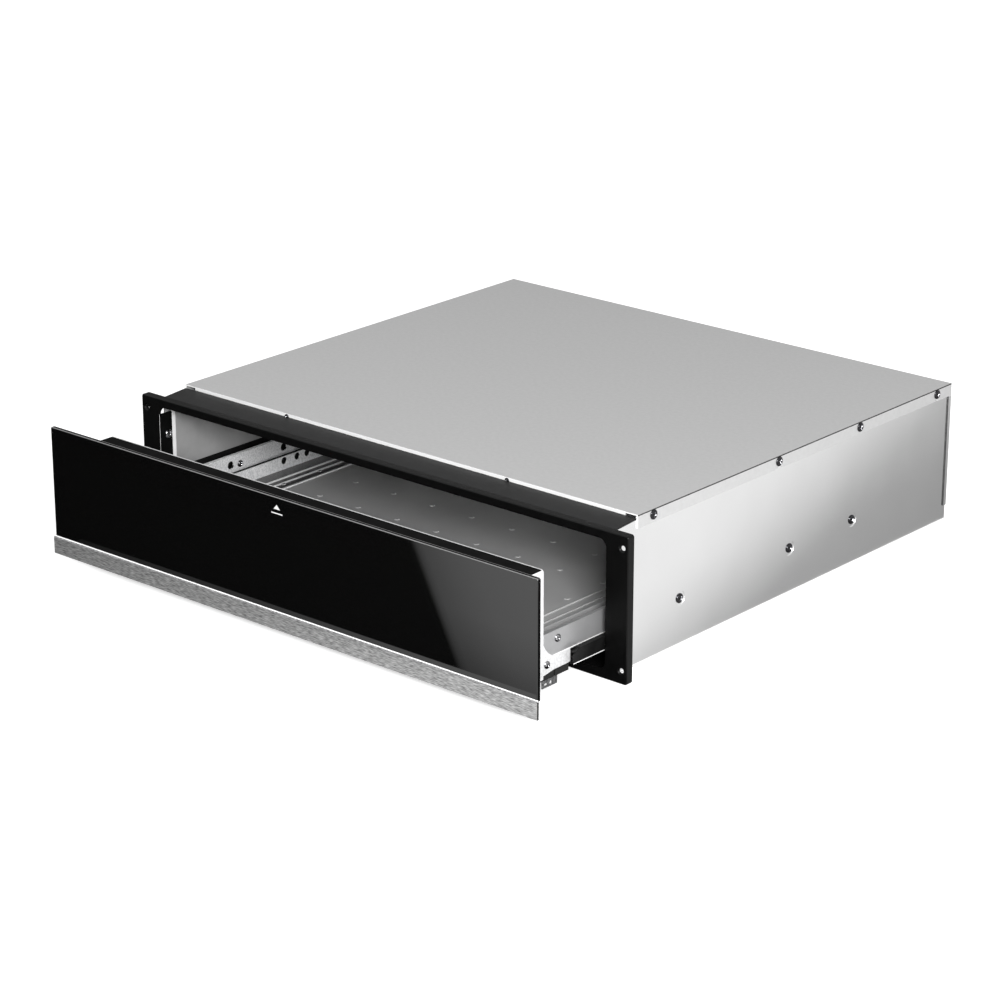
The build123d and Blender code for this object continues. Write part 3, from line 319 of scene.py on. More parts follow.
# pressed and cured in a hot mould
black_rubber, tree, shader = finish_of("black EPDM rubber", "#1d1d1d", 0.0, 0.75)
grain(tree, shader, 0.4, strength=0.3, height_mm=0.03)
mottle(tree, shader, "#1a1a1a", "#222222", 3.0)

# enamel that is baked on in a stove
motor_enamel, tree, shader = finish_of("grey stove enamel", "#85878a", 0.0, 0.35)
mottle(tree, shader, "#808285", "#8b8d90", 10.0)

# pressed from plain sheet and left bare
fan_alloy, tree, shader = finish_of("plain pressed aluminium", "#c9cacc", 1.0, 0.38)
mottle(tree, shader, "#bfc0c2", "#d2d3d5", 15.0)

# drawn steel tube, dulled and browned by its own heat
heater_sheath, tree, shader = finish_of("heat-dulled steel sheath", "#6d655c", 1.0, 0.5)
mottle(tree, shader, "#5c554e", "#7a7064", 12.0)
grain(tree, shader, 0.6, strength=0.2)

# fibres pressed wet and dried to a board
mineral_board, tree, shader = finish_of("pressed mineral fibre", "#d3cbb9", 0.0, 0.95)
mottle(tree, shader, "#c8bfac", "#dcd5c5", 1.5)
grain(tree, shader, 0.8, strength=0.5, height_mm=0.15)
print(len(bpy.data.materials), "materials")

# %% [markdown]
# The floor is white to the camera and to mirrors, because the glow in its material is switched by the
# kind of ray, but its matt part still takes the object's shadow. The world does the same: white where
# it is seen, and a plain soft light for everything else.

# %% Floor and world
FLOOR_GLOW, SOFT_LIGHT = 0.6, 0.62  # what the floor adds for the eye, and the world's light on matt surfaces


def white_to_eye(tree, strength, target, socket):
    """Glow of that strength for rays from the eye, a mirror or glass, and none for diffuse light."""
    scale = node(tree, "ShaderNodeMath", {"operation": "MULTIPLY", "use_clamp": True}, {1: strength},
                 links=[("Value", target, socket)])
    either = node(tree, "ShaderNodeMath", {"operation": "MAXIMUM"}, links=[("Value", scale, 0)])
    seen = node(tree, "ShaderNodeMath", {"operation": "MAXIMUM"}, links=[("Value", either, 0)])
    path = node(tree, "ShaderNodeLightPath", links=[("Is Camera Ray", seen, 0), ("Is Glossy Ray", seen, 1)])
    tree.links.new(path.outputs["Is Transmission Ray"], either.inputs[1])


floor_paper = bpy.data.materials.new("seamless white paper")
floor_paper.use_nodes = True
tree = floor_paper.node_tree
tree.nodes.clear()
output = node(tree, "ShaderNodeOutputMaterial")
both = node(tree, "ShaderNodeAddShader", links=[("Shader", output, "Surface")])
node(tree, "ShaderNodeBsdfDiffuse", inputs={"Color": linear("#dedede")}, links=[("BSDF", both, 0)])
glow = node(tree, "ShaderNodeEmission", inputs={"Color": linear("#ffffff")}, links=[("Emission", both, 1)])
white_to_eye(tree, FLOOR_GLOW, glow, "Strength")

mesh = bpy.data.meshes.new("floor")
half, level = 6.0, cad_low[2] - 0.5 * MM
corners = [(x * half, y * half, level) for x, y in ((-1, -1), (1, -1), (1, 1), (-1, 1))]
mesh.from_pydata(corners, [], [(0, 1, 2, 3)])
floor = bpy.data.objects.new("floor", mesh)
floor.data.materials.append(floor_paper)
bpy.context.scene.collection.objects.link(floor)

world = bpy.data.worlds.new("studio")
world.use_nodes = True
tree = world.node_tree
tree.nodes.clear()
output = node(tree, "ShaderNodeOutputWorld")
choice = node(tree, "ShaderNodeMixShader", links=[("Shader", output, "Surface")])
node(tree, "ShaderNodeBackground", inputs={"Color": linear("#ffffff"), "Strength": SOFT_LIGHT},
     links=[("Background", choice, 1)])
node(tree, "ShaderNodeBackground", inputs={"Color": linear("#ffffff"), "Strength": 1.0},
     links=[("Background", choice, 2)])
white_to_eye(tree, 1.0, choice, "Fac")
bpy.context.scene.world = world
bpy.context.scene.view_settings.view_transform = "Standard"
print("floor at", round(level * 1000, 2), "mm")

# %% [markdown]
# Two large, weak soft boxes give the forms a bright and a less bright side, and a colour under them
# renders about as it is written. A smaller and stronger one beside the camera adds the sheen on the
# frame, the strip and the screw heads.

# %% Lamps
def soft_box(name, place, target, size, watts):
    """A square area lamp that looks at a point."""
    data = bpy.data.lights.new(name, "AREA")
    data.shape, data.size, data.energy = "SQUARE", size, watts
    lamp = bpy.data.objects.new(name, data)
    lamp.location = place
    lamp.rotation_euler = (Vector(target) - Vector(place)).to_track_quat("-Z", "Y").to_euler()
    bpy.context.scene.collection.objects.link(lamp)


soft_box("key_light", (-1.6, -1.2, 2.4), (0, 0, 0.05), 1.6, 10)
soft_box("fill_light", (2.4, -1.0, 1.8), (0, 0, 0.05), 1.8, 6)
soft_box("front_light", (1.9, -1.75, 1.05), (0, FRONT_Y, 0.08), 0.7, 85)

# %% [markdown]
# Black glass and bright steel show the studio more than themselves, so a photographer shapes what they
# mirror with cards that stay out of the picture. Here black cards lie on the floor before and under the
# drawer, grey ones fade out beside them and along the right wall, and a dark one stands behind. Only
# mirrors see them.

# %% Cards that only mirrors see
def card(name, corners, grey, fades=()):
    """A flat card that only mirrors see; each fade is (direction, start, end, stops), and they multiply."""
    paint = bpy.data.materials.new(name + " card")
    paint.use_nodes = True
    tree = paint.node_tree
    tree.nodes.clear()
    output = node(tree, "ShaderNodeOutputMaterial")
    shine = node(tree, "ShaderNodeEmission", inputs={"Color": linear("#ffffff"), "Strength": grey},
                 links=[("Emission", output, "Surface")])
    target, socket = shine, "Strength"
    for direction, start, end, stops in fades:
        product = node(tree, "ShaderNodeMath", {"operation": "MULTIPLY"}, {0: grey, 1: 1.0},
                       links=[("Value", target, socket)])
        ramp = node(tree, "ShaderNodeValToRGB", links=[("Color", product, 1)])
        target, socket = product, 0
        while len(ramp.color_ramp.elements) < len(stops):
            ramp.color_ramp.elements.new(0.5)
        for element, (place, value) in zip(ramp.color_ramp.elements, stops):
            element.position, element.color = place, (value, value, value, 1)
        span = node(tree, "ShaderNodeMapRange", inputs={"From Min": start, "From Max": end},
                    links=[("Result", ramp, "Fac")])
        along = node(tree, "ShaderNodeVectorMath", {"operation": "DOT_PRODUCT"}, {1: direction},
                     links=[("Value", span, "Value")])
        node(tree, "ShaderNodeTexCoord", links=[("Object", along, 0)])
    mesh = bpy.data.meshes.new(name)
    mesh.from_pydata(corners, [], [list(range(len(corners)))])
    sheet = bpy.data.objects.new(name, mesh)
    sheet.data.materials.append(paint)
    bpy.context.scene.collection.objects.link(sheet)
    sheet.visible_camera = sheet.visible_diffuse = sheet.visible_shadow = False
    sheet.visible_transmission = sheet.visible_volume_scatter = False


def on_floor(*places):
    """Points just over the floor, from millimetres across and behind the frame's front plane."""
    return [(x * MM, FRONT_Y + depth * MM, level + 0.8 * MM) for x, depth in places]


print("a card lies", round((on_floor((0, 0))[0][2] - level) / MM, 1), "mm over the floor")

# %% [markdown]
# The two cards before the drawer meet along one slanting edge, and it is that edge which the glass
# mirrors as a step from black to grey. A fade is given as a direction, where it starts and ends along
# that direction in metres, and the brightness at some places between.

# %% Cards before the drawer
NEAR, UNDER = -168, -123  # depths of the cards' near edges, in millimetres
edge = ((161, NEAR), (-39, -338), (-2280, -2242))
across_edge, edge_start, edge_end = (0.6474, -0.7621, 0.0), 0.4345, 0.5345
card("black_front", on_floor(*edge, (-3200, -2242), (-3200, 300), (-320, 300), (-320, NEAR)), 0.0)
card("black_below", on_floor((330, 0), (-320, 0), (-320, UNDER), (330, UNDER)), 0.0)
card("grey_front", on_floor(*reversed(edge), (900, NEAR), (2200, -2242)), 1.0, [
    (across_edge, edge_start, edge_end,
     [(0.0, 0.02), (0.05, 0.4), (0.1, 0.56), (0.3, 0.74), (0.5, 0.88), (0.8, 0.97), (1.0, 1.0)]),
    ((0.0, -1.0, 0.0), 0.168 - FRONT_Y, 0.268 - FRONT_Y, [(0.0, 0.6), (0.5, 0.85), (1.0, 1.0)]),
])
card("strip_fade", on_floor((-320, UNDER), (-320, NEAR), (600, NEAR), (600, UNDER)), 1.0, [
    ((1.0, 0.0, 0.0), -0.34, 0.26, [(0.0, 0.03), (0.5, 0.35), (0.85, 0.8), (1.0, 0.9)]),
])

# %% [markdown]
# One more lies along the right wall. It darkens towards the wall and the back, which gives the bright
# steel its soft grey gradient. The last one stands far behind on the left, for what faces that way.

# %% Cards beside and behind
card("grey_right", on_floor((279, 2), (279, 1400), (1500, 1400), (1500, 2)), 1.0, [
    ((-3.2, 1.0, 0.0), FRONT_Y - 1.25, FRONT_Y - 0.35,
     [(0.0, 1.0), (0.22, 1.0), (0.34, 0.9), (0.47, 0.68), (0.64, 0.42), (1.0, 0.34)]),
])
low, high = 0.02, 1.75
card("dark_behind", [(-2.6, 0.35, low), (-0.15, 2.4, low), (-0.15, 2.4, high), (-2.6, 0.35, high)], 1.0, [
    ((0.0, 0.0, 1.0), 0.3, 1.7, [(0.0, 0.1), (1.0, 0.5)]),
])
print("grey_right and dark_behind stand by")

# %% [markdown]
# Most CAD parts already have the right shape, and only need their finish. The record names a material
# slot for each part, so one table from slot to finish dresses all of them.

# %% Finishes on the CAD parts
finishes = {
    "housing_steel": bright_wall,
    "cover_steel": satin_cover,
    "frame_black": frame_coat,
    "rail_black": rail_coat,
    "front_glass": black_glass,
    "strip_steel": brushed_strip,
    "box_paint": box_coat,
    "galvanised": zinc_plate,
    "floor_steel": mirror_floor,
    "screw_steel": screw_plate,
    "ball_steel": bearing_steel,
    "cage_plastic": natural_nylon,
    "black_plastic": matt_plastic,
    "control_plastic": gloss_plastic,
    "lamp_plastic": lamp_lens,
    "bumper_rubber": black_rubber,
    "motor_steel": motor_enamel,
    "fan_alloy": fan_alloy,
    "heater_steel": heater_sheath,
    "mineral_board": mineral_board,
}
slot_of = {}
for name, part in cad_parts.items():
    for material_slot in part.material_slots:
        slot_of[name] = material_slot.material.name.split(".")[0]
        material_slot.material = finishes[slot_of[name]]
for name in ("left_slide_outer", "right_slide_outer", "left_slide_inner", "right_slide_inner"):
    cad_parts[name].material_slots[0].material = black_zinc
print(len(slot_of), "CAD parts dressed")

# %% [markdown]
# The CAD meshes draw a small round hole with only a few corners. Where such a hole shows, it is punched
# again in the copy of its sheet, as a true circle that is a little wider than the coarse one.

# %% Round holes
def round_hole(shell, centre, radius_mm, reach_mm=4.0, wider_mm=0.3):
    """Punches a circle along X around the coarse polygon of that radius."""
    radius = (radius_mm + wider_mm) * MM
    rod = bmesh.new()
    bmesh.ops.create_cone(
        rod, cap_ends=True, segments=24, radius1=radius, radius2=radius, depth=reach_mm * MM,
        matrix=Matrix.Translation(centre) @ Matrix.Rotation(math.pi / 2, 4, "Y"))
    plate_mesh, rod_mesh = bpy.data.meshes.new("plate"), bpy.data.meshes.new("rod")
    shell.to_mesh(plate_mesh)
    rod.to_mesh(rod_mesh)
    plate, punch = bpy.data.objects.new("plate", plate_mesh), bpy.data.objects.new("punch", rod_mesh)
    for piece in (plate, punch):
        bpy.context.scene.collection.objects.link(piece)
    cut = plate.modifiers.new("hole", "BOOLEAN")
    cut.operation, cut.object, cut.solver = "DIFFERENCE", punch, "EXACT"
    punched = bpy.data.meshes.new_from_object(plate.evaluated_get(bpy.context.evaluated_depsgraph_get()))
    shell.clear()
    shell.from_mesh(punched)
    rod.free()
    for piece in (plate, punch):
        bpy.data.objects.remove(piece)


RAIL_HOLES = [(depth, 49.4, 3.8) for depth in (81.5, 155)]
RIM_HOLES = [(depth, 46.5, 3.4) for depth in (131.5, 149.8, 163.9)]
print("holes as (depth, height, radius) in mm:", RAIL_HOLES, RIM_HOLES)

# %% [markdown]
# Sheet steel is never knife-sharp: a punched or folded edge is rounded by a few tenths of a millimetre,
# and that thin round catches the light as a bright line. The CAD solids have sharp edges, so a copy of
# each large sheet gets a small bevel. The copy is merged first, because CAD meshes are loose triangles.

# %% Rounded edges
def softened(node_name, width_mm, body, finish=None, bend_mm=None, in_bend=None, cuts=(), holes=()):
    """A copy of a CAD part with rounded edges, which stands for it; edges that pass in_bend get bend_mm.

    The cuts are (axis, place) pairs at which its faces are divided, so that a band can have its own
    finish; places are millimetres, and those along Y count from the frame's front plane. The holes are
    (x, depth, z, radius) of round holes along X.
    """
    shell = bmesh.new()
    shell.from_mesh(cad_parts[node_name].data)
    bmesh.ops.remove_doubles(shell, verts=shell.verts, dist=1e-6)
    bmesh.ops.dissolve_limit(shell, angle_limit=math.radians(0.5), verts=shell.verts, edges=shell.edges)
    for x, depth, z, radius in holes:
        round_hole(shell, at(x, depth, z), radius)
    for axis, place in cuts:
        point, normal = Vector((0, FRONT_Y if axis == 1 else 0, 0)), Vector((0, 0, 0))
        point[axis] += place * MM
        normal[axis] = 1
        bmesh.ops.bisect_plane(shell, geom=shell.verts[:] + shell.edges[:] + shell.faces[:], dist=1e-6,
                               plane_co=point, plane_no=normal)
    for face in shell.faces:
        face.smooth = True
    widest = bend_mm or width_mm
    weights = shell.edges.layers.float.new("bevel_weight_edge")
    for edge in shell.edges:
        if len(edge.link_faces) == 2 and edge.calc_face_angle(0) > math.radians(30):
            edge[weights] = 1.0 if in_bend and in_bend(edge) else width_mm / widest
    mesh = bpy.data.meshes.new(node_name + "_sheet")
    shell.to_mesh(mesh)
    shell.free()
    piece = bpy.data.objects.new(node_name + "_sheet", mesh)
    piece.data.materials.append(finish or finishes[slot_of[node_name]])
    bpy.context.scene.collection.objects.link(piece)
    bevel = piece.modifiers.new("edge", "BEVEL")
    bevel.width, bevel.segments, bevel.limit_method = widest * MM, 4 if bend_mm else 2, "WEIGHT"
    bevel.use_clamp_overlap, bevel.miter_outer = True, "MITER_SHARP"
    level_faces = piece.modifiers.new("level faces", "WEIGHTED_NORMAL")
    level_faces.mode, level_faces.weight, level_faces.keep_sharp = "FACE_AREA", 100, True
    baked = bpy.data.meshes.new_from_object(piece.evaluated_get(bpy.context.evaluated_depsgraph_get()))
    piece.modifiers.clear()
    piece.data = baked
    piece.data.name = piece.name
    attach(piece, body)
    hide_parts(node_name)
    return piece


print("edges of more than 30 degrees will be rounded")

# %% [markdown]
# Most large sheets need nothing more than that. Their widths are between two and four tenths of a
# millimetre, as a press or a folding bench leaves them.

# %% Sheets with plain rounded edges
soft_edges = {
    "housing": {"front_frame": 0.3, "front_rail": 0.35, "rear_panel": 0.3},
    "drawer": {
        "left_door_bracket": 0.25, "right_door_bracket": 0.25, "drawer_rear_rail": 0.3,
        "drawer_pan": 0.25, "adjuster_tabs": 0.2, "door_latches": 0.3,
    },
}
sheets = {}
for body, parts in soft_edges.items():
    for name, width in parts.items():
        sheets[name] = softened(name, width, body)
        print(name, len(sheets[name].data.polygons), "faces")

# %% [markdown]
# Some sheets change their finish along a line: where a fold begins, or where a band of painted highlight or
# painted shade begins. Their faces are divided there. All the places are measured in millimetres, the depths
# behind the frame's front plane and the heights above the base.

# %% Sheets that are divided or punched
X, Y, Z = 0, 1, 2
GLASS_BACK, BOX_FOLD, BASE_FRONT = -113.4, -72.0, 130  # depths
STRIP_LIP_Z, WALL_FOOT_Z, COVER_FOLD_Z = 24.4, 61, 138.8
RAIL_FOLD_Z, RAIL_BEND_Z, RAIL_INNER_Z = 37.2, 38.4, 41.5
GROOVES_X = -201
sheets["front_glass"] = softened("front_glass", 0.4, "drawer", cuts=((Y, GLASS_BACK),))
sheets["door_inner_box"] = softened("door_inner_box", 0.3, "drawer", cuts=((Y, BOX_FOLD),))
sheets["base_plate"] = softened("base_plate", 0.25, "housing", cuts=((Y, BASE_FRONT),))
sheets["handle_strip"] = softened("handle_strip", 0.25, "drawer", cuts=((Z, STRIP_LIP_Z),))
for side in ("left", "right"):
    name = side + "_side_wall"
    sheets[name] = softened(name, 0.25, "housing", cuts=((Z, WALL_FOOT_Z),))
    name = side + "_slide_middle"
    slide_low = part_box(name)[0][Z] + 0.8 * MM
    sheets[name] = softened(name, 0.25, side + "_slide", black_zinc, cuts=((Z, slide_low / MM),))
    name = side + "_side_rail"
    middle_x = sum(corner[X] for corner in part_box(name)) / 2 / MM
    sheets[name] = softened(name, 0.3, "drawer", cuts=((Z, RAIL_FOLD_Z), (Z, RAIL_BEND_Z), (Z, RAIL_INNER_Z)),
                            holes=[(middle_x, *hole) for hole in RAIL_HOLES])
sheets["floor_plate"] = softened("floor_plate", 0.2, "drawer", cuts=((X, GROOVES_X),),
                                 holes=[(x, *hole) for x in (-239.5, 239.5) for hole in RIM_HOLES])
print(len(sheets), "sheets so far")

# %% [markdown]
# The top cover is folded with a wider radius where it turns down into its front lip, so that one edge
# gets a bend of two millimetres and all the others a fine one.

# %% Top cover
lip_y, top_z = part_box("top_cover")[0][Y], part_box("top_cover")[1][Z]


def along_lip(edge):
    """True for the edge between the cover's top and its front lip."""
    return all(vertex.co.y < lip_y + 0.1 * MM and vertex.co.z > top_z - 0.1 * MM for vertex in edge.verts)


sheets["top_cover"] = softened("top_cover", 0.45, "housing", cuts=((Z, COVER_FOLD_Z),), bend_mm=2.0,
                               in_bend=along_lip)
print("top cover", len(sheets["top_cover"].data.polygons), "faces")

# %% [markdown]
# A sheet isn't the same all over. Its inner side stays dull, a bend gets a painted highlight, a crease or gap
# gets painted shade, and the paint of a box ends at its folds. The faces to change are picked by where they
# lie and which way they face.

# %% Second finishes on walls and rails
def repaint(name, finish, wanted):
    """A second finish on the faces of a sheet that pass the test on (middle, outward direction)."""
    piece = sheets[name]
    piece.data.materials.append(finish)
    chosen = [face for face in piece.data.polygons if wanted(face.center, face.normal)]
    for face in chosen:
        face.material_index = len(piece.data.materials) - 1
    print(name, len(chosen), "faces in", finish.name)


for side, sign in (("left", -1), ("right", 1)):
    wall, rail = side + "_side_wall", side + "_side_rail"
    repaint(wall, inner_zinc, lambda middle, out: out.x * sign < -0.5)
    repaint(wall, black_zinc, lambda middle, out: out.x * sign < -0.5 and middle.z < WALL_FOOT_Z * MM)
    repaint(rail, rail_steel, lambda middle, out: out.x * sign > 0.5)
    # painted shade: the rail's upward-slanting fold faces are painted as a dark line
    repaint(rail, painted_shade_grey, lambda middle, out: 0.9 > out.z > 0.2)
    # painted highlight: a near-white line along the rail's outer face just above its lower fold
    repaint(rail, painted_highlight_zinc,
            lambda middle, out: out.x * sign > 0.5 and RAIL_FOLD_Z * MM < middle.z < RAIL_BEND_Z * MM)
    repaint(rail, black_zinc, lambda middle, out: out.x * sign > 0.5 and middle.z < RAIL_FOLD_Z * MM)
    # painted shade: the lower part of the rail's inner face is painted dark, where it lies in shadow above
    # the gutter
    repaint(rail, painted_shade_grey, lambda middle, out: out.x * sign < -0.5 and middle.z < RAIL_INNER_Z * MM)
    # painted highlight: a near-white line along the slide's lower edge
    repaint(side + "_slide_middle", painted_highlight_zinc,
            lambda middle, out: out.x * sign > 0.5 and middle.z < slide_low)
    repaint(side + "_door_bracket", smooth_zinc, lambda middle, out: True)
repaint("right_side_rail", rail_steel, lambda middle, out: out.z > 0.9)

# %% [markdown]
# The housing's other sheets: the cover's underside is dull, its lip gets a painted highlight and the edge
# along its sides a dark line of painted shade. The frame's opening gets a painted highlight along its left
# edge, and the flanges of the rear panel and the front part of the base get painted shade.

# %% Second finishes on the housing
LIP_BAND, FLANGE_X = 2.2, 276.1
repaint("top_cover", inner_zinc, lambda middle, out: out.z < -0.5 or out.x * middle.x < -0.1)
# painted highlight: the band of the cover's lip is near white where its bend catches the light
repaint("top_cover", painted_highlight_zinc, lambda middle, out: middle.y < lip_y + LIP_BAND * MM and out.y < -0.1)
# painted shade: a dark line along the fold between the cover's top and its side flanges
repaint("top_cover", painted_shade_grey,
        lambda middle, out: out.x * middle.x > 0.2 * abs(middle.x) and middle.z > COVER_FOLD_Z * MM)
# painted highlight: near white on the left edge of the frame's opening
repaint("front_frame", painted_highlight_zinc, lambda middle, out: (
    out.x > 0.3 and out.y < -0.3 and -280 * MM < middle.x < -260 * MM and middle.z < 120 * MM))
repaint("rear_panel", inner_zinc, lambda middle, out: out.y < -0.5)
# painted shade: the front faces of the rear panel's flanges are dark, as a shaded gap beside the walls
repaint("rear_panel", painted_shade_grey, lambda middle, out: out.y < -0.3 and abs(middle.x) > FLANGE_X * MM)
repaint("base_plate", inner_zinc, lambda middle, out: out.z > 0.5)
# painted shade: the base's front part is painted black, where it lies in shadow inside the opening
repaint("base_plate", box_coat, lambda middle, out: out.z > 0.2 and middle.y < FRONT_Y + BASE_FRONT * MM)

# %% [markdown]
# On the drawer the floor's rims are plain zinc. Along its left side the grooves are darkened as a painted
# reflection and the beads carry painted highlights, and the pan below gets painted shade. The glass has
# blacked edges and one pale arris along its top, and the strip below it ends in a lip with a painted
# highlight, and its ends are painted black as shade.

# %% Second finishes on the drawer
BEADS_X, BEAD_EDGE_X, BEAD_LOW_Z, BEAD_TOP_Z, GLASS_FACE = -239, -210, 37.55, 38.5, -116.45
repaint("floor_plate", zinc_plate, lambda middle, out: abs(out.x) > 0.7 and out.x * middle.x < 0)
# painted reflection: the floor between the beads on the left side is darkened
repaint("floor_plate", painted_reflection_steel,
        lambda middle, out: out.z > 0.9 and BEADS_X * MM < middle.x < GROOVES_X * MM)
# painted highlight: near-white lines along the edges of the beads on the left side
repaint("floor_plate", painted_highlight_zinc, lambda middle, out: (
    out.z > -0.2 and BEAD_LOW_Z * MM < middle.z < BEAD_TOP_Z * MM and middle.x < BEAD_EDGE_X * MM))
# painted shade: the pan's upward faces are painted dark, as the shaded gutter under the floor
repaint("drawer_pan", painted_shade_grey, lambda middle, out: out.z > 0.5)
repaint("adjuster_tabs", tab_steel, lambda middle, out: True)
repaint("door_inner_box", smooth_zinc,
        lambda middle, out: abs(out.x) > 0.6 or (out.z > 0.2 and middle.y > FRONT_Y + BOX_FOLD * MM))
repaint("front_glass", glass_edge, lambda middle, out: out.z > 0.95 or abs(out.x) > 0.95)
repaint("front_glass", glass_arris, lambda middle, out: out.z > 0.3 and (
    middle.y > FRONT_Y + GLASS_BACK * MM or (out.y < -0.2 and middle.y > FRONT_Y + GLASS_FACE * MM)))
# painted highlight: the upper half of the strip's lip is near white; the lower half takes the darker tab
# steel
repaint("handle_strip", painted_highlight_zinc, lambda middle, out: out.z > 0.3 and out.y < -0.3)
repaint("handle_strip", tab_steel,
        lambda middle, out: out.z > 0.3 and out.y < -0.3 and middle.z < STRIP_LIP_Z * MM)
# painted shade: the strip's end faces are painted black as they lie in shadow
repaint("handle_strip", glass_edge, lambda middle, out: abs(out.x) > 0.5)

# %% [markdown]
# Just behind the frame each wall is folded back on itself. That hem is a flat strip on the inner side, thin
# enough to lie between the wall and the drawer, and coloured near white as a painted highlight.

# %% Wall hems
def strip_between(name, low, high, finish):
    """A thin closed strip with rounded edges between two corners (x, depth, z) in millimetres."""
    block = bmesh.new()
    bmesh.ops.create_cube(block, size=1.0)
    for vertex in block.verts:
        vertex.co = Vector([(a + b) / 2 + (b - a) * c for a, b, c in zip(low, high, vertex.co)]) * MM
        vertex.co.y += FRONT_Y
    bmesh.ops.bevel(block, geom=block.edges[:], offset=0.1 * MM, segments=2, affect="EDGES",
                    clamp_overlap=True)
    mesh = bpy.data.meshes.new(name)
    block.to_mesh(mesh)
    block.free()
    piece = bpy.data.objects.new(name, mesh)
    piece.data.materials.append(finish)
    bpy.context.scene.collection.objects.link(piece)
    return piece


HEM_X, HEM_DEPTHS, HEM_HEIGHTS = (273.8, 275.0), (16.2, 20.8), (54.0, 134.0)
for side, sign in (("left", -1), ("right", 1)):
    low, high = zip(sorted(sign * x for x in HEM_X), HEM_DEPTHS, HEM_HEIGHTS)
    hem = strip_between(side + "_wall_hem", low, high, painted_highlight_zinc)
    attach(hem, "housing")
    print(hem.name, len(hem.data.polygons), "faces")

# %% [markdown]
# All screws are the same kind: a pan head with a cross recess on a plain shank, in a few sizes. That is
# a job for Geometry Nodes: one tree builds a screw from its sizes and sets it on every marked point,
# turned by a random amount, because nobody drives every screw home to the same angle.

# %% The screw tree: inputs and places
def group_input(tree, name, kind, default=None):
    """A named input on a geometry tree."""
    made = tree.interface.new_socket(name, in_out="INPUT", socket_type=kind)
    if default is not None:
        made.default_value = default


t = bpy.data.node_groups.new("pan_head_screws", "GeometryNodeTree")
t.interface.new_socket("Geometry", in_out="OUTPUT", socket_type="NodeSocketGeometry")
group_input(t, "Geometry", "NodeSocketGeometry")
for name, default in (("Head Radius", 0.0036), ("Head Height", 0.0018), ("Shank Radius", 0.0015),
                      ("Shank Length", 0.006), ("Recess Width", 0.0009)):
    group_input(t, name, "NodeSocketFloat", default)
group_input(t, "Seed", "NodeSocketInt", 7)
group_input(t, "Finish", "NodeSocketMaterial")

output = node(t, "NodeGroupOutput")
coated = node(t, "GeometryNodeSetMaterial", links=[("Geometry", output, "Geometry")])
real = node(t, "GeometryNodeRealizeInstances", links=[("Geometry", coated, "Geometry")])
placed = node(t, "GeometryNodeInstanceOnPoints", links=[("Instances", real, "Geometry")])
turned = node(t, "FunctionNodeRotateRotation", {"rotation_space": "LOCAL"},
              links=[("Rotation", placed, "Rotation")])
aligned = node(t, "FunctionNodeAlignRotationToVector", {"axis": "Z"},
               links=[("Rotation", turned, "Rotation")])
node(t, "GeometryNodeInputNamedAttribute", {"data_type": "FLOAT_VECTOR"}, {"Name": "facing"},
     links=[("Attribute", aligned, "Vector")])
twist = node(t, "FunctionNodeAxisAngleToRotation", links=[("Rotation", turned, "Rotate By")])
spread = node(t, "FunctionNodeRandomValue", {"data_type": "FLOAT"})
t.links.new(spread.outputs[1], twist.inputs["Angle"])
spread.inputs[2].default_value, spread.inputs[3].default_value = 0.0, math.pi / 2
whole = node(t, "GeometryNodeJoinGeometry", links=[("Geometry", placed, "Instance")])
print(len(t.nodes), "nodes place the screws")

# %% [markdown]
# The head starts as a cylinder with rings. Each ring is drawn in by an amount that grows with the cube
# of its height, which gives the flat dome of a pan head. Two crossed bars then cut the recess.

# %% The screw tree: head
DOME_TAPER, DOME_POWER, RECESS_REACH = -0.42, 3.0, 0.95
cut = node(t, "GeometryNodeMeshBoolean", {"operation": "DIFFERENCE"}, links=[("Mesh", whole, "Geometry")])
domed = node(t, "GeometryNodeSetPosition", links=[("Geometry", cut, "Mesh 1")])
blank = node(t, "GeometryNodeMeshCylinder", inputs={"Vertices": 28, "Side Segments": 7},
             links=[("Mesh", domed, "Geometry")])
shaped = node(t, "ShaderNodeVectorMath", {"operation": "MULTIPLY"}, links=[("Vector", domed, "Position")])
where = node(t, "GeometryNodeInputPosition", links=[("Position", shaped, 0)])
taper = node(t, "ShaderNodeCombineXYZ", inputs={"Z": 1.0}, links=[("Vector", shaped, 1)])
narrow = node(t, "ShaderNodeMath", {"operation": "MULTIPLY_ADD"}, {1: DOME_TAPER, 2: 1.0},
              links=[("Value", taper, "X"), ("Value", taper, "Y")])
cubed = node(t, "ShaderNodeMath", {"operation": "POWER"}, {1: DOME_POWER}, links=[("Value", narrow, 0)])
share = node(t, "ShaderNodeMath", {"operation": "MULTIPLY_ADD", "use_clamp": True}, {2: 0.5},
             links=[("Value", cubed, 0)])
height = node(t, "ShaderNodeSeparateXYZ")
t.links.new(where.outputs["Position"], height.inputs[0])
t.links.new(height.outputs["Z"], share.inputs[0])
slenderness = node(t, "ShaderNodeMath", {"operation": "DIVIDE"}, {0: 1.0}, links=[("Value", share, 1)])
lift = node(t, "ShaderNodeCombineXYZ", links=[("Vector", domed, "Offset")])
half_height = node(t, "ShaderNodeMath", {"operation": "MULTIPLY"}, {1: 0.5}, links=[("Value", lift, "Z")])

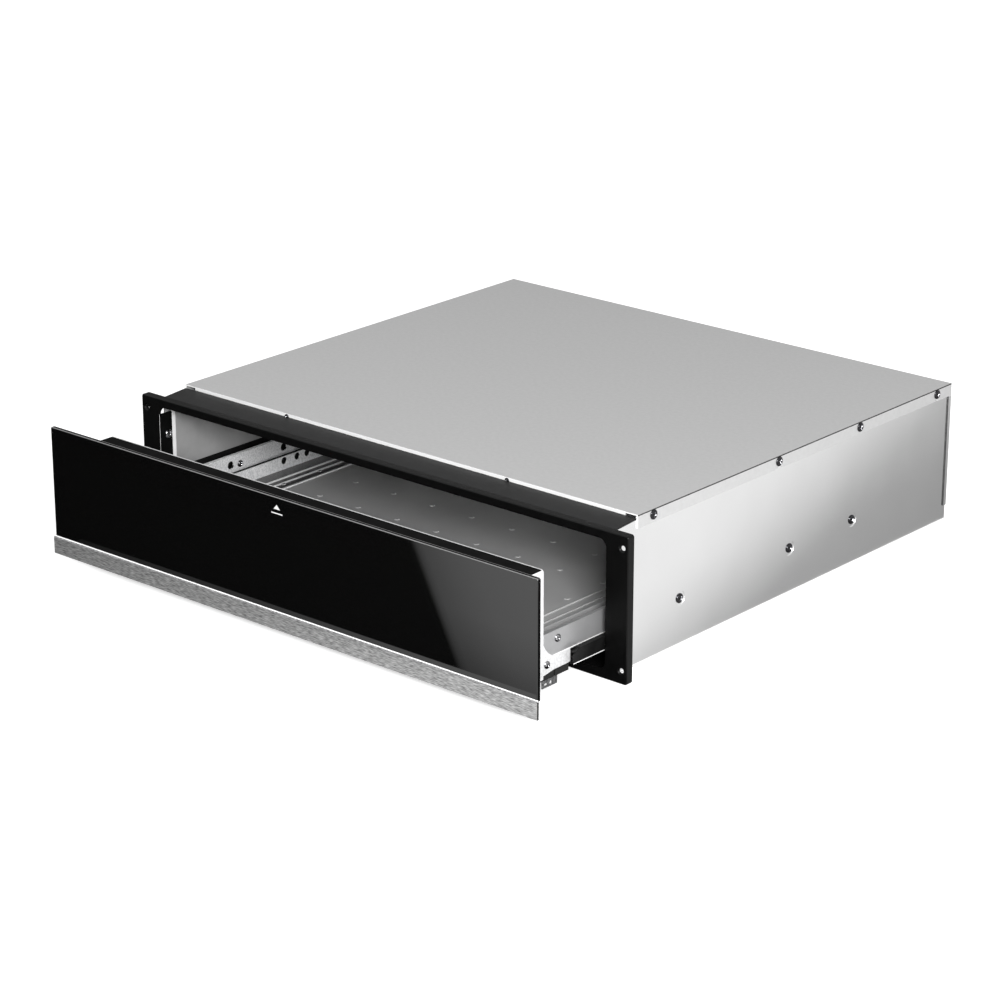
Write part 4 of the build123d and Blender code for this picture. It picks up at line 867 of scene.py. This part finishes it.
for along, across in (("X", "Y"), ("Y", "X")):
    moved = node(t, "GeometryNodeTransform", links=[("Geometry", cut, "Mesh 2")])
    bar = node(t, "GeometryNodeMeshCube", links=[("Mesh", moved, "Geometry")])
    bar_size = node(t, "ShaderNodeCombineXYZ", links=[("Vector", bar, "Size")])
    top = node(t, "ShaderNodeCombineXYZ", links=[("Vector", moved, "Translation")])
    arm = node(t, "ShaderNodeMath", {"operation": "MULTIPLY"}, {1: RECESS_REACH},
               links=[("Value", bar_size, along)])
    node(t, "NodeGroupInput", links=[
        ("Head Radius", arm, 0), ("Recess Width", bar_size, across), ("Head Height", bar_size, "Z"),
        ("Head Height", top, "Z"),
    ])

print(len(t.nodes), "nodes with the head")

# %% [markdown]
# The shank is a plain cylinder below the head. Last come the links from the tree's own inputs.

# %% The screw tree: shank and links
shank_place = node(t, "GeometryNodeTransform", links=[("Geometry", whole, "Geometry")])
shank = node(t, "GeometryNodeMeshCylinder", inputs={"Vertices": 16},
             links=[("Mesh", shank_place, "Geometry")])
sink = node(t, "ShaderNodeCombineXYZ", links=[("Vector", shank_place, "Translation")])
half_shank = node(t, "ShaderNodeMath", {"operation": "MULTIPLY"}, {1: -0.5}, links=[("Value", sink, "Z")])
node(t, "NodeGroupInput", links=[
    ("Geometry", placed, "Points"), ("Finish", coated, "Material"), ("Seed", spread, "Seed"),
    ("Head Radius", blank, "Radius"), ("Head Height", blank, "Depth"), ("Head Height", slenderness, 1),
    ("Head Height", half_height, 0), ("Shank Radius", shank, "Radius"), ("Shank Length", shank, "Depth"),
    ("Shank Length", half_shank, 0),
])
print(len(t.nodes), "nodes in the screw tree")

# %% [markdown]
# Each row of screws is a cloud of points with a direction on every point. The finished heads get a bright
# polished steel in their recess, a painted glint in the cross.

# %% Driving a row of screws
RECESS_SHARE, SHARP_ANGLE = 0.26, math.radians(38)


def set_inputs(modifier, values):
    """Fills a geometry modifier's inputs by name; they're stored by the socket's identifier."""
    for item in modifier.node_group.interface.items_tree:
        if item.item_type == "SOCKET" and item.in_out == "INPUT" and item.name in values:
            modifier[item.identifier] = values[item.name]


def drive_screws(node_name, body, seats, radius, height, length, shank=1.5, seed=7, plate=screw_plate):
    """Screws with their heads on the seats, each a (point, facing) pair, in place of one CAD node."""
    mesh = bpy.data.meshes.new(node_name + "_pan_heads")
    mesh.from_pydata([point for point, facing in seats], [], [])
    directions = mesh.attributes.new("facing", "FLOAT_VECTOR", "POINT")
    for index, (point, facing) in enumerate(seats):
        directions.data[index].vector = facing
    piece = bpy.data.objects.new(mesh.name, mesh)
    bpy.context.scene.collection.objects.link(piece)
    maker = piece.modifiers.new("screws", "NODES")
    maker.node_group = bpy.data.node_groups["pan_head_screws"]
    set_inputs(maker, {
        "Head Radius": radius * MM, "Head Height": height * MM, "Shank Radius": shank * MM,
        "Shank Length": length * MM, "Recess Width": radius * RECESS_SHARE * MM,
        "Seed": seed, "Finish": plate,
    })
    real_mesh = bpy.data.meshes.new_from_object(piece.evaluated_get(bpy.context.evaluated_depsgraph_get()))
    piece.modifiers.clear()
    piece.data = real_mesh
    # painted glint: the recess faces take the bright polished steel
    piece.data.materials.append(bearing_steel)
    for face in real_mesh.polygons:
        for point, facing in seats:
            away, axis = face.center - point, Vector(facing)
            up, level = away.dot(axis), face.normal.dot(axis)
            in_recess = abs(level) < 0.25 or (level > 0.97 and up < 0.6 * height * MM)
            if in_recess and 0 < up and (away - up * axis).length < 0.8 * radius * MM:
                face.material_index = len(real_mesh.materials) - 1
    piece.data.shade_smooth()
    piece.data.set_sharp_from_angle(angle=SHARP_ANGLE)
    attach(piece, body)
    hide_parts(node_name)
    print(piece.name, len(seats), "screws,", len(real_mesh.polygons), "faces")


print("a recess is", RECESS_SHARE, "of the head's radius wide")

# %% [markdown]
# The places repeat those of the CAD screws: millimetres across, behind the frame's front plane and above
# the base. One screw at the foot of each bracket is added. It sits at the slide's mid height, so that
# it passes between the ball rows when the drawer shuts.

# %% Screws in their places
sides = (-1, 1)
cover_seats = [(at(s * 277, depth, 134.8), (s, 0, 0)) for s in sides for depth in (60, 242, 369, 497)]
drive_screws("cover_side_screws", "housing", cover_seats, 4.6, 1.8, 5, seed=3, plate=dark_screw)

slide_seats = [(at(s * 275.3, depth, 44.7), (s, 0, 0)) for s in sides for depth in (101, 264, 363)]
drive_screws("slide_screws", "housing", slide_seats, 4.6, 1.8, 4.2, seed=5, plate=dark_screw)

lip_seats = [(at(x, 38.4, 137.3), (0, -1, 0)) for x in (-141, 130)]
drive_screws("cover_lip_screws", "housing", lip_seats, 2.4, 1.2, 1.0, shank=0.75, plate=dark_screw)

frame_seats = [(at(s * 273.5, 11, 98), (-s, 0, 0)) for s in sides]
drive_screws("frame_side_screws", "housing", frame_seats, 4.4, 1.4, 2.5, seed=9, plate=bearing_steel)

rear_seats = [(at(x, 522, z), (0, 1, 0)) for x in (-269, 269) for z in (24, 103.8)]
drive_screws("rear_screws", "housing", rear_seats, 3.6, 1.8, 6, seed=4)

rail_seats = [(at(s * 264, -52, 52), (s, 0, 0)) for s in sides]
rail_seats += [(at(s * 262.5, 94, 48.2), (-s, 0, 0)) for s in sides]
rail_seats += [(at(s * 265, -67.2, 32.3), (s, 0, 0)) for s in sides]
drive_screws("rail_screws", "drawer", rail_seats, 3.6, 1.6, 1.4, seed=6)
print("six rows of screws")

# %% [markdown]
# A small pale mark on the glass shows where to push: here a plain triangle over a bar, printed a few
# hundredths of a millimetre thick. It is drawn as flat outlines and given its thickness by Solidify.

# %% Printed push mark
def printed(name, outlines, depth, thickness_mm, ink):
    """Flat outlines (x, z in millimetres) on a plane that faces the front, as a thin printed layer."""
    layer = bmesh.new()
    for outline in outlines:
        layer.faces.new([layer.verts.new(at(x, depth, z)) for x, z in outline])
    bmesh.ops.recalc_face_normals(layer, faces=layer.faces)
    for face in layer.faces:
        if face.normal.y > 0:
            face.normal_flip()
    mesh = bpy.data.meshes.new(name)
    layer.to_mesh(mesh)
    layer.free()
    piece = bpy.data.objects.new(name, mesh)
    piece.data.materials.append(ink)
    bpy.context.scene.collection.objects.link(piece)
    body = piece.modifiers.new("thickness", "SOLIDIFY")
    body.thickness, body.offset = thickness_mm * MM, 1.0
    piece.data = bpy.data.meshes.new_from_object(piece.evaluated_get(bpy.context.evaluated_depsgraph_get()))
    piece.modifiers.clear()
    return piece


# ink pressed through a fine screen and baked
screen_ink, tree, shader = finish_of("pale grey screen print", "#d6d6d6", 0.0, 0.5)
mottle(tree, shader, "#d0d0d0", "#dcdcdc", 0.6)
triangle = [(-6.0, 121.3), (2.0, 121.3), (-2.0, 125.4)]
bar = [(-8.8, 117.0), (4.8, 117.0), (4.8, 118.0), (-8.8, 118.0)]
push_mark = printed("push_mark", [triangle, bar], -116.5, 0.04, screen_ink)
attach(push_mark, "drawer")
print("push mark", len(push_mark.data.polygons), "faces")
